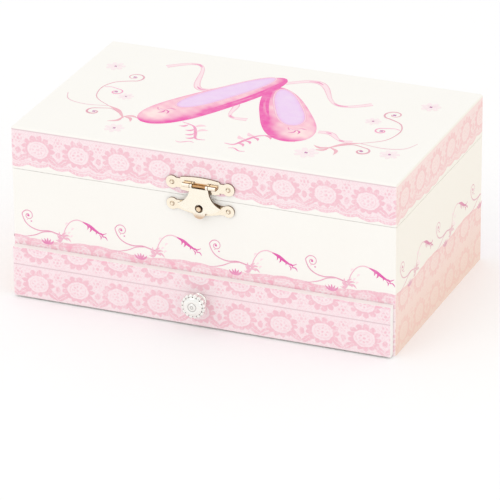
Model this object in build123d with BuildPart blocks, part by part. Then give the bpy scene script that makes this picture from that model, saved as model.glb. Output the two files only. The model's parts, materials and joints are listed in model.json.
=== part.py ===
from build123d import *
import os
from math import cos, pi, radians, sin

# Musical jewellery box: a paper-covered wooden case with a drawer, a lined tray, a hinged lid with a
# hasp latch, and a wind-up comb movement that turns a small ballerina on a spring.
# Millimetres, +Z up, front towards -Y.  The origin is the middle of the case's underside.

# ---------------------------------------------------------------- driving dimensions
box_width = 200.0
box_depth = 122.0
box_height = 89.0
seam_height = 67.0          # middle of the gap between the case and the lid
seam_gap = 0.2
board = 4.0                 # walls of the case and the lid, and the lid's top
corner_radius = 1.2         # rounding of the outer corners
floor_board = 3.0
tray_board = 3.0
lining = 1.2                # covered card on the tray's walls
pad = 1.6                   # covered card on the tray's floor
lid_card = 1.6              # covered card under the lid's top
panel = 3.0                 # dividers and the small inner panels

drawer_opening_height = 28.0
drawer_lintel_z = 26.6      # underside of the front board, just behind the drawer front's top edge
drawer_board = 3.0
drawer_front_top = 27.0
drawer_front_bottom = 0.8
drawer_front_inset = 1.2    # how far the drawer front stays inside the case's sides
drawer_play = 0.6           # gap beside the drawer
drawer_reveal = 0.2         # gap behind the drawer front and under the drawer

divider_x = 27.5            # inner face of each long divider
divider_top = 58.0
cross_divider_y = 4.0
cross_divider_top = 56.0
stage_front_y = 28.5
stage_top = 54.0

plate = 0.8                 # sheet metal of the hinges and the latch

# ---------------------------------------------------------------- values that follow from them
half_width = box_width / 2
half_depth = box_depth / 2
case_top = seam_height - seam_gap / 2
lid_bottom = seam_height + seam_gap / 2
lid_inner_top = box_height - board
inner_x = half_width - board
inner_y = half_depth - board
tray_bottom = drawer_opening_height
tray_top = tray_bottom + tray_board
lined_x = inner_x - lining
lined_y = inner_y - lining

os.makedirs("parts", exist_ok=True)


def write_step(builder, node_name):
    """Label a finished piece and write it as its own STEP file."""
    builder.part.label = node_name
    export_step(builder.part, f"parts/{node_name}.step")


def block(x_range, y_range, z_range):
    """Add a rectangular block between the given limits to the piece being built."""
    width, depth, height = (high - low for low, high in (x_range, y_range, z_range))
    with Locations((x_range[0], y_range[0], z_range[0])):
        Box(width, depth, height, align=(Align.MIN, Align.MIN, Align.MIN))


def rod(start_plane, radius, length, mode=Mode.ADD):
    """Add, or with Mode.SUBTRACT bore, a round bar that starts on a plane and runs along its normal."""
    with Locations(start_plane):
        Cylinder(radius, length, align=(Align.CENTER, Align.CENTER, Align.MIN), mode=mode)


def board_piece(x_range, y_range, z_range):
    """A plain flat board."""
    with BuildPart() as piece:
        block(x_range, y_range, z_range)
    return piece


def facing_back(x, y, z):
    """A plane whose normal points out of the box's back."""
    return Plane(origin=(x, y, z), x_dir=(-1, 0, 0), z_dir=(0, 1, 0))


def facing_front(x, y, z):
    """A plane whose normal points out of the box's front."""
    return Plane(origin=(x, y, z), x_dir=(1, 0, 0), z_dir=(0, -1, 0))


def facing_right(x, y, z):
    """A plane whose normal points out of the box's right side."""
    return Plane(origin=(x, y, z), x_dir=(0, 1, 0), z_dir=(1, 0, 0))


# ---------------------------------------------------------------- places shared by several pieces
# Latch, on the middle of the front.
latch_ear_x = 14.6
latch_upper_z = 73.3        # nails of the upper plate, and the flap's pin
latch_lower_z = 62.0        # nails of the lower plate, and the stud
latch_nail_points = {
    "lid": [(side * latch_ear_x, latch_upper_z) for side in (-1, 1)],
    "case": [(side * latch_ear_x, latch_lower_z) for side in (-1, 1)],
}
nail_shank_radius = 0.6
nail_depth = 2.6
latch_stud_radius = 1.5

# Hinges, on the back.
hinge_centres = (-55.0, 55.0)
hinge_half_length = 13.0
hinge_knuckle_half = 4.2    # half length of the lid's knuckle
hinge_knuckle_gap = 0.3
hinge_pin_radius = 0.7
hinge_bore_radius = 0.75
hinge_barrel_radius = 1.6
hinge_axis_y = half_depth + hinge_barrel_radius + 0.1
hinge_leaf_reach = 9.5      # from the pin's axis to a leaf's far edge
hinge_nail_x = 9.0
hinge_nail_z = 6.5          # from the pin's axis to the nails
hinge_nail_points = {
    "lid": [(c + side * hinge_nail_x, seam_height + hinge_nail_z)
            for c in hinge_centres for side in (-1, 1)],
    "case": [(c + side * hinge_nail_x, seam_height - hinge_nail_z)
             for c in hinge_centres for side in (-1, 1)],
}

# Movement, against the inside of the back.
key_z = 16.5                # height of the winding arbor
arbor_radius = 1.5
running_clearance = 0.05
bedplate_thickness = 1.6
bedplate_front_y = inner_y - bedplate_thickness
crown_radius = 10.5
crown_teeth = 48
pinion_teeth = 12
pinion_radius = crown_radius * pinion_teeth / crown_teeth
crown_face_y = 45.0         # front of the spring barrel's disc
crown_tooth_height = 0.9
mesh_depth = 0.6            # how far the meshing teeth reach past each other
train_tooth = 0.45          # thickness of the barrel's and its pinion's teeth
governor_tooth = 0.4        # thickness of the governor wheel's and pinion's teeth
pinion_tip_radius = pinion_radius + mesh_depth / 2
spindle_y = crown_face_y - crown_tooth_height + mesh_depth - pinion_tip_radius
spindle_radius = 1.0
governor_wheel_teeth = 45
governor_pinion_teeth = 9
governor_shaft_radius = 0.7
fan_reach = 3.6             # from the governor's shaft to the tips of its blades
governor_wheel_radius = 9.0
governor_pinion_radius = governor_wheel_radius * governor_pinion_teeth / governor_wheel_teeth
governor_angle = radians(164.0)      # direction from the spindle to the governor
governor_distance = governor_wheel_radius + governor_pinion_radius
governor_x = governor_distance * cos(governor_angle)
governor_y = spindle_y + governor_distance * sin(governor_angle)
cylinder_radius = 6.0
cylinder_z = (29.2, 43.2)
wheel_z = (44.0, 45.2)
lower_bridge_z = (22.5, 24.5)
upper_bridge_z = (46.2, 48.2)
bedplate_screw_points = [(-13.0, 42.0), (22.0, 10.0)]
bedplate_screw_radius = 1.2
comb_screw_points = [(21.5, 32.0), (21.5, 40.5)]
comb_screw_radius = 0.9
comb_screw_depth = 5.0      # how far the comb's screws reach into their block
comb_root_end_x = 25.2
screw_play = 0.05
comb_y = spindle_y          # middle of the comb's thickness
comb_half = 0.5

# Stop wire, which the closing lid pushes down.
stop_wire_x = -19.0
stop_wire_y = 50.0
stop_wire_radius = 0.8

# Ballerina.
fold_angle = 80.0           # how far she lies from upright under the closed lid
fold_z = 59.5               # where her spring bends
fold_point = (0.0, spindle_y, fold_z)
fold_axis = (0.0, -sin(radians(fold_angle)), cos(radians(fold_angle)))
fold_plane = Plane(origin=fold_point, x_dir=(1, 0, 0), z_dir=fold_axis)

# Drawer.
drawer_front_y = -(half_depth + drawer_reveal)
drawer_face_y = drawer_front_y - board
drawer_half = inner_x - drawer_play
drawer_back_y = stage_front_y - 1.5
drawer_underside = floor_board + drawer_reveal
drawer_floor_top = drawer_underside + 3.3
knob_z = 14.3
knob_screw_radius = 1.5


# ---------------------------------------------------------------- case
def make_bottom_board():
    piece = board_piece((-inner_x, inner_x), (-half_depth, inner_y), (0, floor_board))
    write_step(piece, "bottom_board")


def make_side_boards():
    """Both sides run the full depth, with their outer upright corners rounded."""
    for side, node_name in ((-1, "left_side_board"), (1, "right_side_board")):
        with BuildPart() as side_board:
            x_range = sorted((side * inner_x, side * half_width))
            block(x_range, (-half_depth, half_depth), (0, case_top))
            upright = side_board.edges().filter_by(Axis.Z).sort_by(Axis.X)
            outer = upright[-2:] if side > 0 else upright[:2]
            fillet(outer, corner_radius)
        write_step(side_board, node_name)


def make_back_board():
    """The back, drilled for the winding arbor, the movement's screws and the hinge nails."""
    with BuildPart() as back_board:
        block((-inner_x, inner_x), (inner_y, half_depth), (0, case_top))
        with Locations(facing_back(0, half_depth, key_z)):
            Hole(radius=arbor_radius + 1.0)
        with Locations(*[facing_back(x, half_depth, z) for x, z in bedplate_screw_points]):
            Hole(radius=bedplate_screw_radius + screw_play)
        with Locations(*[facing_back(x, half_depth, z) for x, z in hinge_nail_points["case"]]):
            Hole(radius=nail_shank_radius, depth=nail_depth)
    write_step(back_board, "back_board")


def make_front_board():
    with BuildPart() as front_board:
        block((-inner_x, inner_x), (-half_depth, -inner_y), (drawer_lintel_z, case_top))
        with Locations(*[facing_front(x, -half_depth, z) for x, z in latch_nail_points["case"]]):
            Hole(radius=nail_shank_radius, depth=nail_depth)
        with Locations(facing_front(0, -half_depth, latch_lower_z)):
            Hole(radius=latch_stud_radius / 2, depth=nail_depth)
    write_step(front_board, "front_board")


def make_tray():
    """Tray floor with a notch for the movement, its dividers, and the board that stops the drawer."""
    ledge = 1.5                 # how far the floor reaches in under the dividers
    well_half = divider_x - ledge
    with BuildPart() as tray_floor:
        block((-inner_x, inner_x), (-inner_y, inner_y), (tray_bottom, tray_top))
        with BuildSketch(Plane.XY.offset(tray_bottom)):
            with Locations((0, (stage_front_y + panel + inner_y) / 2)):
                Rectangle(2 * well_half, inner_y - stage_front_y - panel)
        extrude(amount=tray_board, mode=Mode.SUBTRACT)
    write_step(tray_floor, "tray_floor")

    stop_board = board_piece((-inner_x, inner_x), (stage_front_y, stage_front_y + panel),
                             (floor_board, tray_bottom))
    write_step(stop_board, "drawer_stop_board")

    with BuildPart() as dividers:
        for side in (-1, 1):
            x_range = sorted((side * divider_x, side * (divider_x + panel)))
            block(x_range, (-lined_y, inner_y), (tray_top, divider_top))
    write_step(dividers, "tray_dividers")

    cross = board_piece((-lined_x, -divider_x - panel), (cross_divider_y, cross_divider_y + panel),
                        (tray_top, cross_divider_top))
    write_step(cross, "cross_divider")


def make_stage():
    """The boxed-in corner over the movement, whose top is the ballerina's stage."""
    spindle_room = 0.8
    wire_room = 0.2
    front = board_piece((-divider_x, divider_x), (stage_front_y, stage_front_y + panel),
                        (tray_top, stage_top - panel))
    write_step(front, "stage_front_panel")
    with BuildPart() as stage:
        block((-divider_x, divider_x), (stage_front_y, inner_y), (stage_top - panel, stage_top))
        with Locations((0, spindle_y, stage_top)):
            Hole(radius=spindle_radius + spindle_room)
        with Locations((stop_wire_x, stop_wire_y, stage_top)):
            Hole(radius=stop_wire_radius + wire_room)
    write_step(stage, "stage_board")


def make_linings():
    """Covered cards on the tray's walls and floors, and the padded ring rolls."""
    below_rim = 2.0
    lining_top = case_top - below_rim
    with BuildPart() as side_linings:
        for side in (-1, 1):
            x_range = sorted((side * lined_x, side * inner_x))
            block(x_range, (-lined_y, lined_y), (tray_top, lining_top))
    write_step(side_linings, "side_wall_linings")

    front_lining = board_piece((-inner_x, inner_x), (-inner_y, -lined_y), (tray_top, lining_top))
    write_step(front_lining, "front_wall_lining")

    with BuildPart() as back_linings:
        for side in (-1, 1):
            x_range = sorted((side * (divider_x + panel), side * inner_x))
            block(x_range, (lined_y, inner_y), (tray_top, lining_top))
    write_step(back_linings, "back_wall_linings")

    pad_edge = 0.4
    outer_x = lined_x - pad_edge
    side_x = divider_x + panel + pad_edge
    floor_pads = {
        "left_floor_pad": ((-outer_x, -side_x), (cross_divider_y + panel + pad_edge, lined_y - pad_edge)),
        "right_floor_pad": ((side_x, outer_x), (-lined_y + pad_edge, lined_y - pad_edge)),
        "centre_floor_pad": ((-divider_x + pad_edge, divider_x - pad_edge),
                             (-lined_y + pad_edge, stage_front_y - pad_edge)),
    }
    for node_name, (x_range, y_range) in floor_pads.items():
        write_step(board_piece(x_range, y_range, (tray_top, tray_top + pad)), node_name)


def make_ring_rolls():
    """Five padded rolls side by side, which hold rings between them."""
    roll_count = 5
    roll_gap = 0.8
    row_depth = cross_divider_y + lined_y - roll_gap
    pitch = row_depth / roll_count
    roll_width = pitch - roll_gap
    roll_height = 14.6
    roll_middle = 7.5           # height of a roll's middle above the tray's floor
    end_gap = 0.6
    roll_length = lined_x - divider_x - panel - 2 * end_gap
    edge_radius = 0.45 * roll_width
    middle_x = -(lined_x + divider_x + panel) / 2
    first_y = -lined_y + roll_gap + roll_width / 2
    with BuildPart() as ring_rolls:
        for index in range(roll_count):
            section = Plane(origin=(middle_x - roll_length / 2, first_y + index * pitch, tray_top),
                            x_dir=(0, 1, 0), z_dir=(1, 0, 0))
            with BuildSketch(section):
                with Locations((0, roll_middle)):
                    RectangleRounded(roll_width, roll_height, edge_radius)
            extrude(amount=roll_length)
    write_step(ring_rolls, "ring_rolls")


# ---------------------------------------------------------------- lid
def make_lid_boards():
    with BuildPart() as top_board:
        block((-half_width, half_width), (-half_depth, half_depth), (lid_inner_top, box_height))
        fillet(top_board.edges().filter_by(Axis.Z), corner_radius)
        fillet(top_board.faces().sort_by(Axis.Z)[-1].edges(), corner_radius)
    write_step(top_board, "lid_top_board")

    with BuildPart() as front_rim:
        block((-inner_x, inner_x), (-half_depth, -inner_y), (lid_bottom, lid_inner_top))
        with Locations(*[facing_front(x, -half_depth, z) for x, z in latch_nail_points["lid"]]):
            Hole(radius=nail_shank_radius, depth=nail_depth)
    write_step(front_rim, "lid_front_rim")

    with BuildPart() as back_rim:
        block((-inner_x, inner_x), (inner_y, half_depth), (lid_bottom, lid_inner_top))
        with Locations(*[facing_back(x, half_depth, z) for x, z in hinge_nail_points["lid"]]):
            Hole(radius=nail_shank_radius, depth=nail_depth)
    write_step(back_rim, "lid_back_rim")

    with BuildPart() as side_rims:
        for side in (-1, 1):
            x_range = sorted((side * inner_x, side * half_width))
            block(x_range, (-half_depth, half_depth), (lid_bottom, lid_inner_top))
        upright = side_rims.edges().filter_by(Axis.Z).sort_by(Axis.X)
        fillet(upright[:2] + upright[-2:], corner_radius)
    write_step(side_rims, "lid_side_rims")


def make_lid_inside():
    """Covered card under the lid's top, with a mirror glued to its middle."""
    card_gap = 0.2
    mirror_size = (130.0, 76.0)
    mirror_corner = 3.0
    mirror_thickness = 1.5
    mirror_bevel = 0.8
    card_x = inner_x - card_gap
    card_y = inner_y - card_gap
    mirror_top = lid_inner_top - lid_card
    lining_piece = board_piece((-card_x, card_x), (-card_y, card_y), (mirror_top, lid_inner_top))
    write_step(lining_piece, "lid_lining")
    with BuildPart() as mirror:
        with BuildSketch(Plane.XY.offset(mirror_top)):
            RectangleRounded(*mirror_size, mirror_corner)
        extrude(amount=-mirror_thickness)
        chamfer(mirror.faces().sort_by(Axis.Z)[0].edges(), mirror_bevel)
    write_step(mirror, "lid_mirror")


# ---------------------------------------------------------------- hinges and latch
def hinge_leaf(piece_sign, knuckles, centre_x):
    """One leaf on the back: a flat plate that ends in rolled knuckles round the pin's axis.

    piece_sign is +1 for the lid's leaf, which rises from the axis, and -1 for the case's leaf.
    knuckles lists the start and end of each knuckle along X, from the hinge's middle.
    """
    clear_of_barrel = hinge_barrel_radius + 0.4
    near, far = piece_sign * clear_of_barrel, piece_sign * hinge_leaf_reach
    z_range = sorted((seam_height + near, seam_height + far))
    x_range = (centre_x - hinge_half_length, centre_x + hinge_half_length)
    block(x_range, (half_depth, half_depth + plate), z_range)
    tab_z = sorted((seam_height, seam_height + near))
    for start, end in knuckles:
        knuckle_x = (centre_x + start, centre_x + end)
        block(knuckle_x, (half_depth, half_depth + plate), tab_z)
        rod(facing_right(knuckle_x[0], hinge_axis_y, seam_height), hinge_barrel_radius, end - start)


def bore_hinge(centre_x):
    """Clear the pin's bore through the knuckles of one hinge."""
    hinge_end = facing_right(centre_x - hinge_half_length, hinge_axis_y, seam_height)
    rod(hinge_end, hinge_bore_radius, 2 * hinge_half_length, Mode.SUBTRACT)


def make_hinges():
    case_knuckle = hinge_knuckle_half + hinge_knuckle_gap
    leaf_knuckles = {
        "case": (-1, [(-hinge_half_length, -case_knuckle), (case_knuckle, hinge_half_length)]),
        "lid": (1, [(-hinge_knuckle_half, hinge_knuckle_half)]),
    }
    for owner, (piece_sign, knuckles) in leaf_knuckles.items():
        with BuildPart() as leaves:
            for centre_x in hinge_centres:
                hinge_leaf(piece_sign, knuckles, centre_x)
                bore_hinge(centre_x)
            with Locations(*[facing_back(x, half_depth + plate, z)
                             for x, z in hinge_nail_points[owner]]):
                Hole(radius=nail_shank_radius, depth=plate)
        write_step(leaves, f"hinge_{owner}_leaves")

    with BuildPart() as pins:
        for centre_x in hinge_centres:
            hinge_end = facing_right(centre_x - hinge_half_length, hinge_axis_y, seam_height)
            rod(hinge_end, hinge_pin_radius, 2 * hinge_half_length)
    write_step(pins, "hinge_pins")


def latch_plate_outline(centre_z, ear_radius, middle_half_width, middle_half_height, arch):
    """A plate with a round ear at each end, drawn in the front's plane.

    Its taller middle has straight ends, and arch is how far its upper and lower edges bow outwards.
    """
    neck_height = 1.5 * ear_radius
    top = centre_z + middle_half_height
    bottom = centre_z - middle_half_height
    with Locations((latch_ear_x, centre_z), (-latch_ear_x, centre_z)):
        Circle(ear_radius)
    with Locations((0, centre_z)):
        Rectangle(2 * latch_ear_x, neck_height)
    with BuildLine() as middle:
        ThreePointArc((-middle_half_width, top - arch), (0, top), (middle_half_width, top - arch))
        Line((middle_half_width, top - arch), (middle_half_width, bottom + arch))
        ThreePointArc((middle_half_width, bottom + arch), (0, bottom),
                      (-middle_half_width, bottom + arch))
        Line((-middle_half_width, bottom + arch), (-middle_half_width, top - arch))
    make_face(middle.edges())


latch_pin_y = -(half_depth + 2.0)
latch_flap_gap = 0.9        # between the plates and the flap
latch_bearing_play = 0.3    # beside each finger of the flap
latch_knuckle_length = 3.8
latch_pin_radius = 0.55
latch_knuckle_radius = 1.1
latch_flap_neck = 4.8        # half width of the flap where it hangs on the pin
latch_finger = 1.1           # length of each of the flap's two rolled fingers
latch_finger_outer = 4.6


def make_latch_plates():
    front = Plane(origin=(0, -half_depth, 0), x_dir=(1, 0, 0), z_dir=(0, -1, 0))
    knuckle_inner = latch_finger_outer + latch_bearing_play
    knuckle_outer = knuckle_inner + latch_knuckle_length
    stud_head_length = 2.6
    stud_rounding = 0.7
    pin_end = facing_right(-knuckle_outer, latch_pin_y, latch_upper_z)
    with BuildPart() as upper_plate:
        with BuildSketch(front):
            latch_plate_outline(latch_upper_z, 3.2, 10.2, 4.1, 0.9)
        extrude(amount=plate)
        for side in (-1, 1):
            x_range = sorted((side * knuckle_inner, side * knuckle_outer))
            rod(facing_right(x_range[0], latch_pin_y, latch_upper_z), latch_knuckle_radius,
                knuckle_outer - knuckle_inner)
            block(x_range, (latch_pin_y, -half_depth - plate),
                  (latch_upper_z - latch_knuckle_radius, latch_upper_z))
        rod(pin_end, latch_pin_radius, 2 * knuckle_outer, Mode.SUBTRACT)
        with Locations(*[facing_front(x, -half_depth - plate, z) for x, z in latch_nail_points["lid"]]):
            Hole(radius=nail_shank_radius, depth=plate)
    write_step(upper_plate, "latch_upper_plate")

    with BuildPart() as pin:
        rod(pin_end, latch_pin_radius, 2 * knuckle_outer)
    write_step(pin, "latch_pin")

    with BuildPart() as lower_plate:
        with BuildSketch(front):
            latch_plate_outline(latch_lower_z, 3.0, 12.5, 3.9, 2.4)
        extrude(amount=plate)
        with Locations(*[facing_front(x, -half_depth - plate, z) for x, z in latch_nail_points["case"]]):
            Hole(radius=nail_shank_radius, depth=plate)
        with Locations(facing_front(0, -half_depth - plate, latch_lower_z)):
            Hole(radius=latch_stud_radius / 2, depth=plate)
    write_step(lower_plate, "latch_lower_plate")

    with BuildPart() as stud:
        with BuildSketch(facing_front(0, -half_depth + nail_depth, latch_lower_z)):
            Circle(latch_stud_radius / 2)
        extrude(amount=nail_depth + plate)
        with BuildSketch(facing_front(0, -half_depth - plate, latch_lower_z)):
            Circle(latch_stud_radius)
        extrude(amount=stud_head_length)
        fillet(stud.faces().sort_by(Axis.Y)[0].edges(), stud_rounding)
    write_step(stud, "latch_stud")


def make_latch_flap():
    """The bell-shaped flap: narrow at the pin, flaring to two points, with a round lip below."""
    flap_back_y = -(half_depth + plate + latch_flap_gap)
    neck_top_z = latch_upper_z - latch_knuckle_radius
    finger_inner = latch_finger_outer - latch_finger
    lip_radius = 3.3
    stud_hole_radius = latch_stud_radius + 0.6
    neck = (latch_flap_neck, neck_top_z)
    hollow_side = (6.4, 67.2)       # the waist between the neck and the point
    point = (11.2, 63.4)
    hollow_below = (7.2, 60.6)
    lip = (lip_radius, latch_lower_z - 2.0)

    def mirrored(place):
        return (-place[0], place[1])

    with BuildPart() as flap:
        with BuildSketch(facing_front(0, flap_back_y, 0)):
            with BuildLine():
                Line(mirrored(neck), neck)
                ThreePointArc(neck, hollow_side, point)
                ThreePointArc(point, hollow_below, lip)
                RadiusArc(lip, mirrored(lip), lip_radius)
                ThreePointArc(mirrored(lip), mirrored(hollow_below), mirrored(point))
                ThreePointArc(mirrored(point), mirrored(hollow_side), mirrored(neck))
            make_face()
            with Locations((0, latch_lower_z)):
                Circle(stud_hole_radius, mode=Mode.SUBTRACT)
        extrude(amount=plate)
        for side in (-1, 1):
            x_range = sorted((side * finger_inner, side * latch_finger_outer))
            finger_end = facing_right(x_range[0], latch_pin_y, latch_upper_z)
            rod(finger_end, latch_knuckle_radius, latch_finger)
            block(x_range, (flap_back_y - plate, flap_back_y), (neck_top_z, latch_upper_z))
            rod(finger_end, latch_pin_radius + running_clearance, latch_finger, Mode.SUBTRACT)
    write_step(flap, "latch_flap")


def make_nails():
    """Identical round-headed nails through the hinge leaves and the latch plates."""
    head_radius = 1.3
    head_height = 0.6
    for owner in ("case", "lid"):
        with BuildPart() as nails:
            places = [facing_back(x, half_depth + plate, z) for x, z in hinge_nail_points[owner]]
            places += [facing_front(x, -half_depth - plate, z) for x, z in latch_nail_points[owner]]
            for place in places:
                rod(place.offset(-plate - nail_depth), nail_shank_radius, plate + nail_depth)
                with Locations(place):
                    Cone(head_radius, head_radius / 2, head_height,
                         align=(Align.CENTER, Align.CENTER, Align.MIN))
        write_step(nails, f"{owner}_nails")


# ---------------------------------------------------------------- drawer
def make_drawer():
    front_x = half_width - drawer_front_inset
    front_rounding = 0.5
    headroom = 1.6              # above the drawer's sides
    bottom_ply = 2.5
    felt_thickness = 1.0
    felt_gap = 0.4
    with BuildPart() as drawer_front:
        block((-front_x, front_x), (drawer_face_y, drawer_front_y), (drawer_front_bottom, drawer_front_top))
        fillet(drawer_front.faces().sort_by(Axis.Y)[0].edges(), front_rounding)
        with Locations(facing_front(0, drawer_face_y, knob_z)):
            Hole(radius=knob_screw_radius + 0.1)
    write_step(drawer_front, "drawer_front")

    side_top = drawer_opening_height - headroom
    with BuildPart() as drawer_sides:
        for side in (-1, 1):
            x_range = sorted((side * (drawer_half - drawer_board), side * drawer_half))
            block(x_range, (drawer_front_y, drawer_back_y), (drawer_underside, side_top))
    write_step(drawer_sides, "drawer_sides")

    inside_x = drawer_half - drawer_board
    back = board_piece((-inside_x, inside_x), (drawer_back_y - drawer_board, drawer_back_y),
                       (drawer_underside, side_top - 2.0))
    write_step(back, "drawer_back")
    bottom = board_piece((-inside_x, inside_x), (drawer_front_y, drawer_back_y - drawer_board),
                         (drawer_floor_top - bottom_ply, drawer_floor_top))
    write_step(bottom, "drawer_bottom")
    felt = board_piece((-inside_x + felt_gap, inside_x - felt_gap),
                       (drawer_front_y + felt_gap, drawer_back_y - drawer_board - felt_gap),
                       (drawer_floor_top, drawer_floor_top + felt_thickness))
    write_step(felt, "drawer_lining")


def cross_slot(length, width):
    """Draw a screw head's cross recess."""
    Rectangle(length, width)
    Rectangle(width, length)


def make_knob():
    """Faceted metal knob on a short stem, held by a screw from inside the drawer."""
    flange_radius, flange_thickness = 4.2, 0.9
    stem_radius, stem_length = 2.7, 3.6
    head_back_radius, head_radius, face_radius = 3.4, 6.5, 4.5
    back_slope, rim, front_slope = 1.8, 1.6, 2.2
    facets = 14
    rim_start_y = drawer_face_y - stem_length - back_slope
    with BuildPart() as knob:
        with BuildSketch(facing_front(0, drawer_face_y, knob_z)):
            Circle(flange_radius)
        extrude(amount=flange_thickness)
        with BuildSketch(facing_front(0, drawer_face_y, knob_z)):
            Circle(stem_radius)
        extrude(amount=stem_length)
        with BuildSketch(facing_front(0, drawer_face_y - stem_length, knob_z)):
            Circle(head_back_radius)
        with BuildSketch(facing_front(0, rim_start_y, knob_z)):
            RegularPolygon(head_radius, facets)
        loft()
        with BuildSketch(facing_front(0, rim_start_y, knob_z)):
            RegularPolygon(head_radius, facets)
        extrude(amount=rim)
        with BuildSketch(facing_front(0, rim_start_y - rim, knob_z)):
            RegularPolygon(head_radius, facets)
        with BuildSketch(facing_front(0, rim_start_y - rim - front_slope, knob_z)):
            RegularPolygon(face_radius, facets)
        loft()
        with Locations(facing_back(0, drawer_face_y, knob_z)):
            Hole(radius=knob_screw_radius, depth=stem_length)
    write_step(knob, "drawer_knob")

    screw_head_radius, screw_head_height = 3.2, 1.4
    with BuildPart() as screw:
        with BuildSketch(facing_front(0, drawer_front_y, knob_z)):
            Circle(knob_screw_radius)
        extrude(amount=board + stem_length)
        with BuildSketch(facing_back(0, drawer_front_y, knob_z)):
            Circle(screw_head_radius)
        extrude(amount=screw_head_height)
        fillet(screw.faces().sort_by(Axis.Y)[-1].edges(), 0.6)
        with BuildSketch(facing_back(0, drawer_front_y + screw_head_height, knob_z)):
            cross_slot(4.0, 0.8)
        extrude(amount=-screw_head_height / 2, mode=Mode.SUBTRACT)
    write_step(screw, "knob_screw")


# ---------------------------------------------------------------- movement: fixed pieces
def make_bedplate():
    """Cast plate behind the works, with a block that carries the comb."""
    plate_x, plate_z = (-17.0, 25.6), (4.0, 49.5)
    comb_block_x, comb_block_z = (18.2, comb_root_end_x), (28.2, 44.2)
    with BuildPart() as bedplate:
        block(plate_x, (bedplate_front_y, inner_y), plate_z)
        fillet(bedplate.edges().filter_by(Axis.Y), 3.0)
        block(comb_block_x, (comb_y + comb_half, bedplate_front_y), comb_block_z)
        with Locations(facing_front(0, bedplate_front_y, key_z)):
            Hole(radius=arbor_radius + running_clearance, depth=bedplate_thickness)
        with Locations(*[facing_front(x, bedplate_front_y, z) for x, z in bedplate_screw_points]):
            Hole(radius=bedplate_screw_radius, depth=bedplate_thickness)
        with Locations(*[facing_front(x, comb_y + comb_half, z) for x, z in comb_screw_points]):
            Hole(radius=comb_screw_radius, depth=comb_screw_depth)
    write_step(bedplate, "movement_bedplate")


def make_movement_screws():
    """Two screws through the back into the bedplate, and two that hold the comb."""
    back_head_radius, back_head_height = 2.5, 1.3
    comb_head_radius, comb_head_height = 1.9, 1.1
    recess = 0.7
    with BuildPart() as screws:
        for x, z in bedplate_screw_points:
            with BuildSketch(facing_back(x, bedplate_front_y, z)):
                Circle(bedplate_screw_radius)
            extrude(amount=half_depth - bedplate_front_y)
            with BuildSketch(facing_back(x, half_depth, z)):
                Circle(back_head_radius)
            extrude(amount=back_head_height)
            with BuildSketch(facing_back(x, half_depth + back_head_height, z)):
                cross_slot(3.4, recess)
            extrude(amount=-recess, mode=Mode.SUBTRACT)
        for x, z in comb_screw_points:
            with BuildSketch(facing_front(x, comb_y + comb_half + comb_screw_depth, z)):
                Circle(comb_screw_radius)
            extrude(amount=comb_screw_depth + 2 * comb_half)
            with BuildSketch(facing_front(x, comb_y - comb_half, z)):
                Circle(comb_head_radius)
            extrude(amount=comb_head_height)
            with BuildSketch(facing_front(x, comb_y - comb_half - comb_head_height, z)):
                Rectangle(2 * comb_head_radius, recess)
            extrude(amount=-comb_head_height / 2, mode=Mode.SUBTRACT)
    write_step(screws, "movement_screws")


def make_comb():
    """Steel comb: a thick root and a row of teeth whose tips face the cylinder."""
    tooth_count = 14
    slot = 0.25
    tip_gap = 0.9               # from the cylinder to the tips of the teeth
    tip_x = cylinder_radius + tip_gap
    root_x = 16.5
    comb_z = (cylinder_z[0] + 0.4, cylinder_z[1] - 0.4)
    pitch = (comb_z[1] - comb_z[0]) / tooth_count
    with BuildPart() as comb:
        block((tip_x, comb_root_end_x), (comb_y - comb_half, comb_y + comb_half), comb_z)
        for index in range(1, tooth_count):
            slot_z = comb_z[0] + index * pitch
            with BuildSketch(facing_front((tip_x + root_x) / 2, comb_y - comb_half, slot_z)):
                Rectangle(root_x - tip_x, slot)
            extrude(amount=-2 * comb_half, mode=Mode.SUBTRACT)
        with Locations(*[facing_front(x, comb_y - comb_half, z) for x, z in comb_screw_points]):
            Hole(radius=comb_screw_radius)
    write_step(comb, "comb")


def make_bridges():
    """Two brackets that carry the upright arbors, one below the cylinder and one above its wheel."""
    arm_x = (13.0, 15.5)
    bar_y = (spindle_y - 2.3, spindle_y + 1.9)
    bearing_radius = spindle_radius + running_clearance
    lug_z = (27.2, 28.8)
    lug_half = 2.2
    with BuildPart() as lower_bridge:
        block((-arm_x[1], arm_x[1]), bar_y, lower_bridge_z)
        for side in (-1, 1):
            x_range = sorted((side * arm_x[0], side * arm_x[1]))
            block(x_range, (bar_y[0], bedplate_front_y), lower_bridge_z)
        block((-arm_x[1], -arm_x[0]), (governor_y - lug_half, bedplate_front_y),
              (lower_bridge_z[0], lug_z[1]))
        block((-arm_x[1], governor_x + lug_half), (governor_y - lug_half, governor_y + lug_half), lug_z)
        with Locations((0, spindle_y, lower_bridge_z[1])):
            Hole(radius=bearing_radius, depth=3.0)
        with Locations((governor_x, governor_y, lug_z[1])):
            Hole(radius=governor_shaft_radius + running_clearance, depth=2.0)
    write_step(lower_bridge, "lower_bridge")

    with BuildPart() as upper_bridge:
        block((governor_x - 3.0, 6.0), (spindle_y - 3.0, bedplate_front_y), upper_bridge_z)
        fillet(upper_bridge.edges().filter_by(Axis.Z).sort_by(Axis.Y)[:2], 2.5)
        with Locations((0, spindle_y, upper_bridge_z[1])):
            Hole(radius=bearing_radius)
        with Locations((governor_x, governor_y, upper_bridge_z[1])):
            Hole(radius=governor_shaft_radius + running_clearance)
    write_step(upper_bridge, "upper_bridge")


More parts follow.
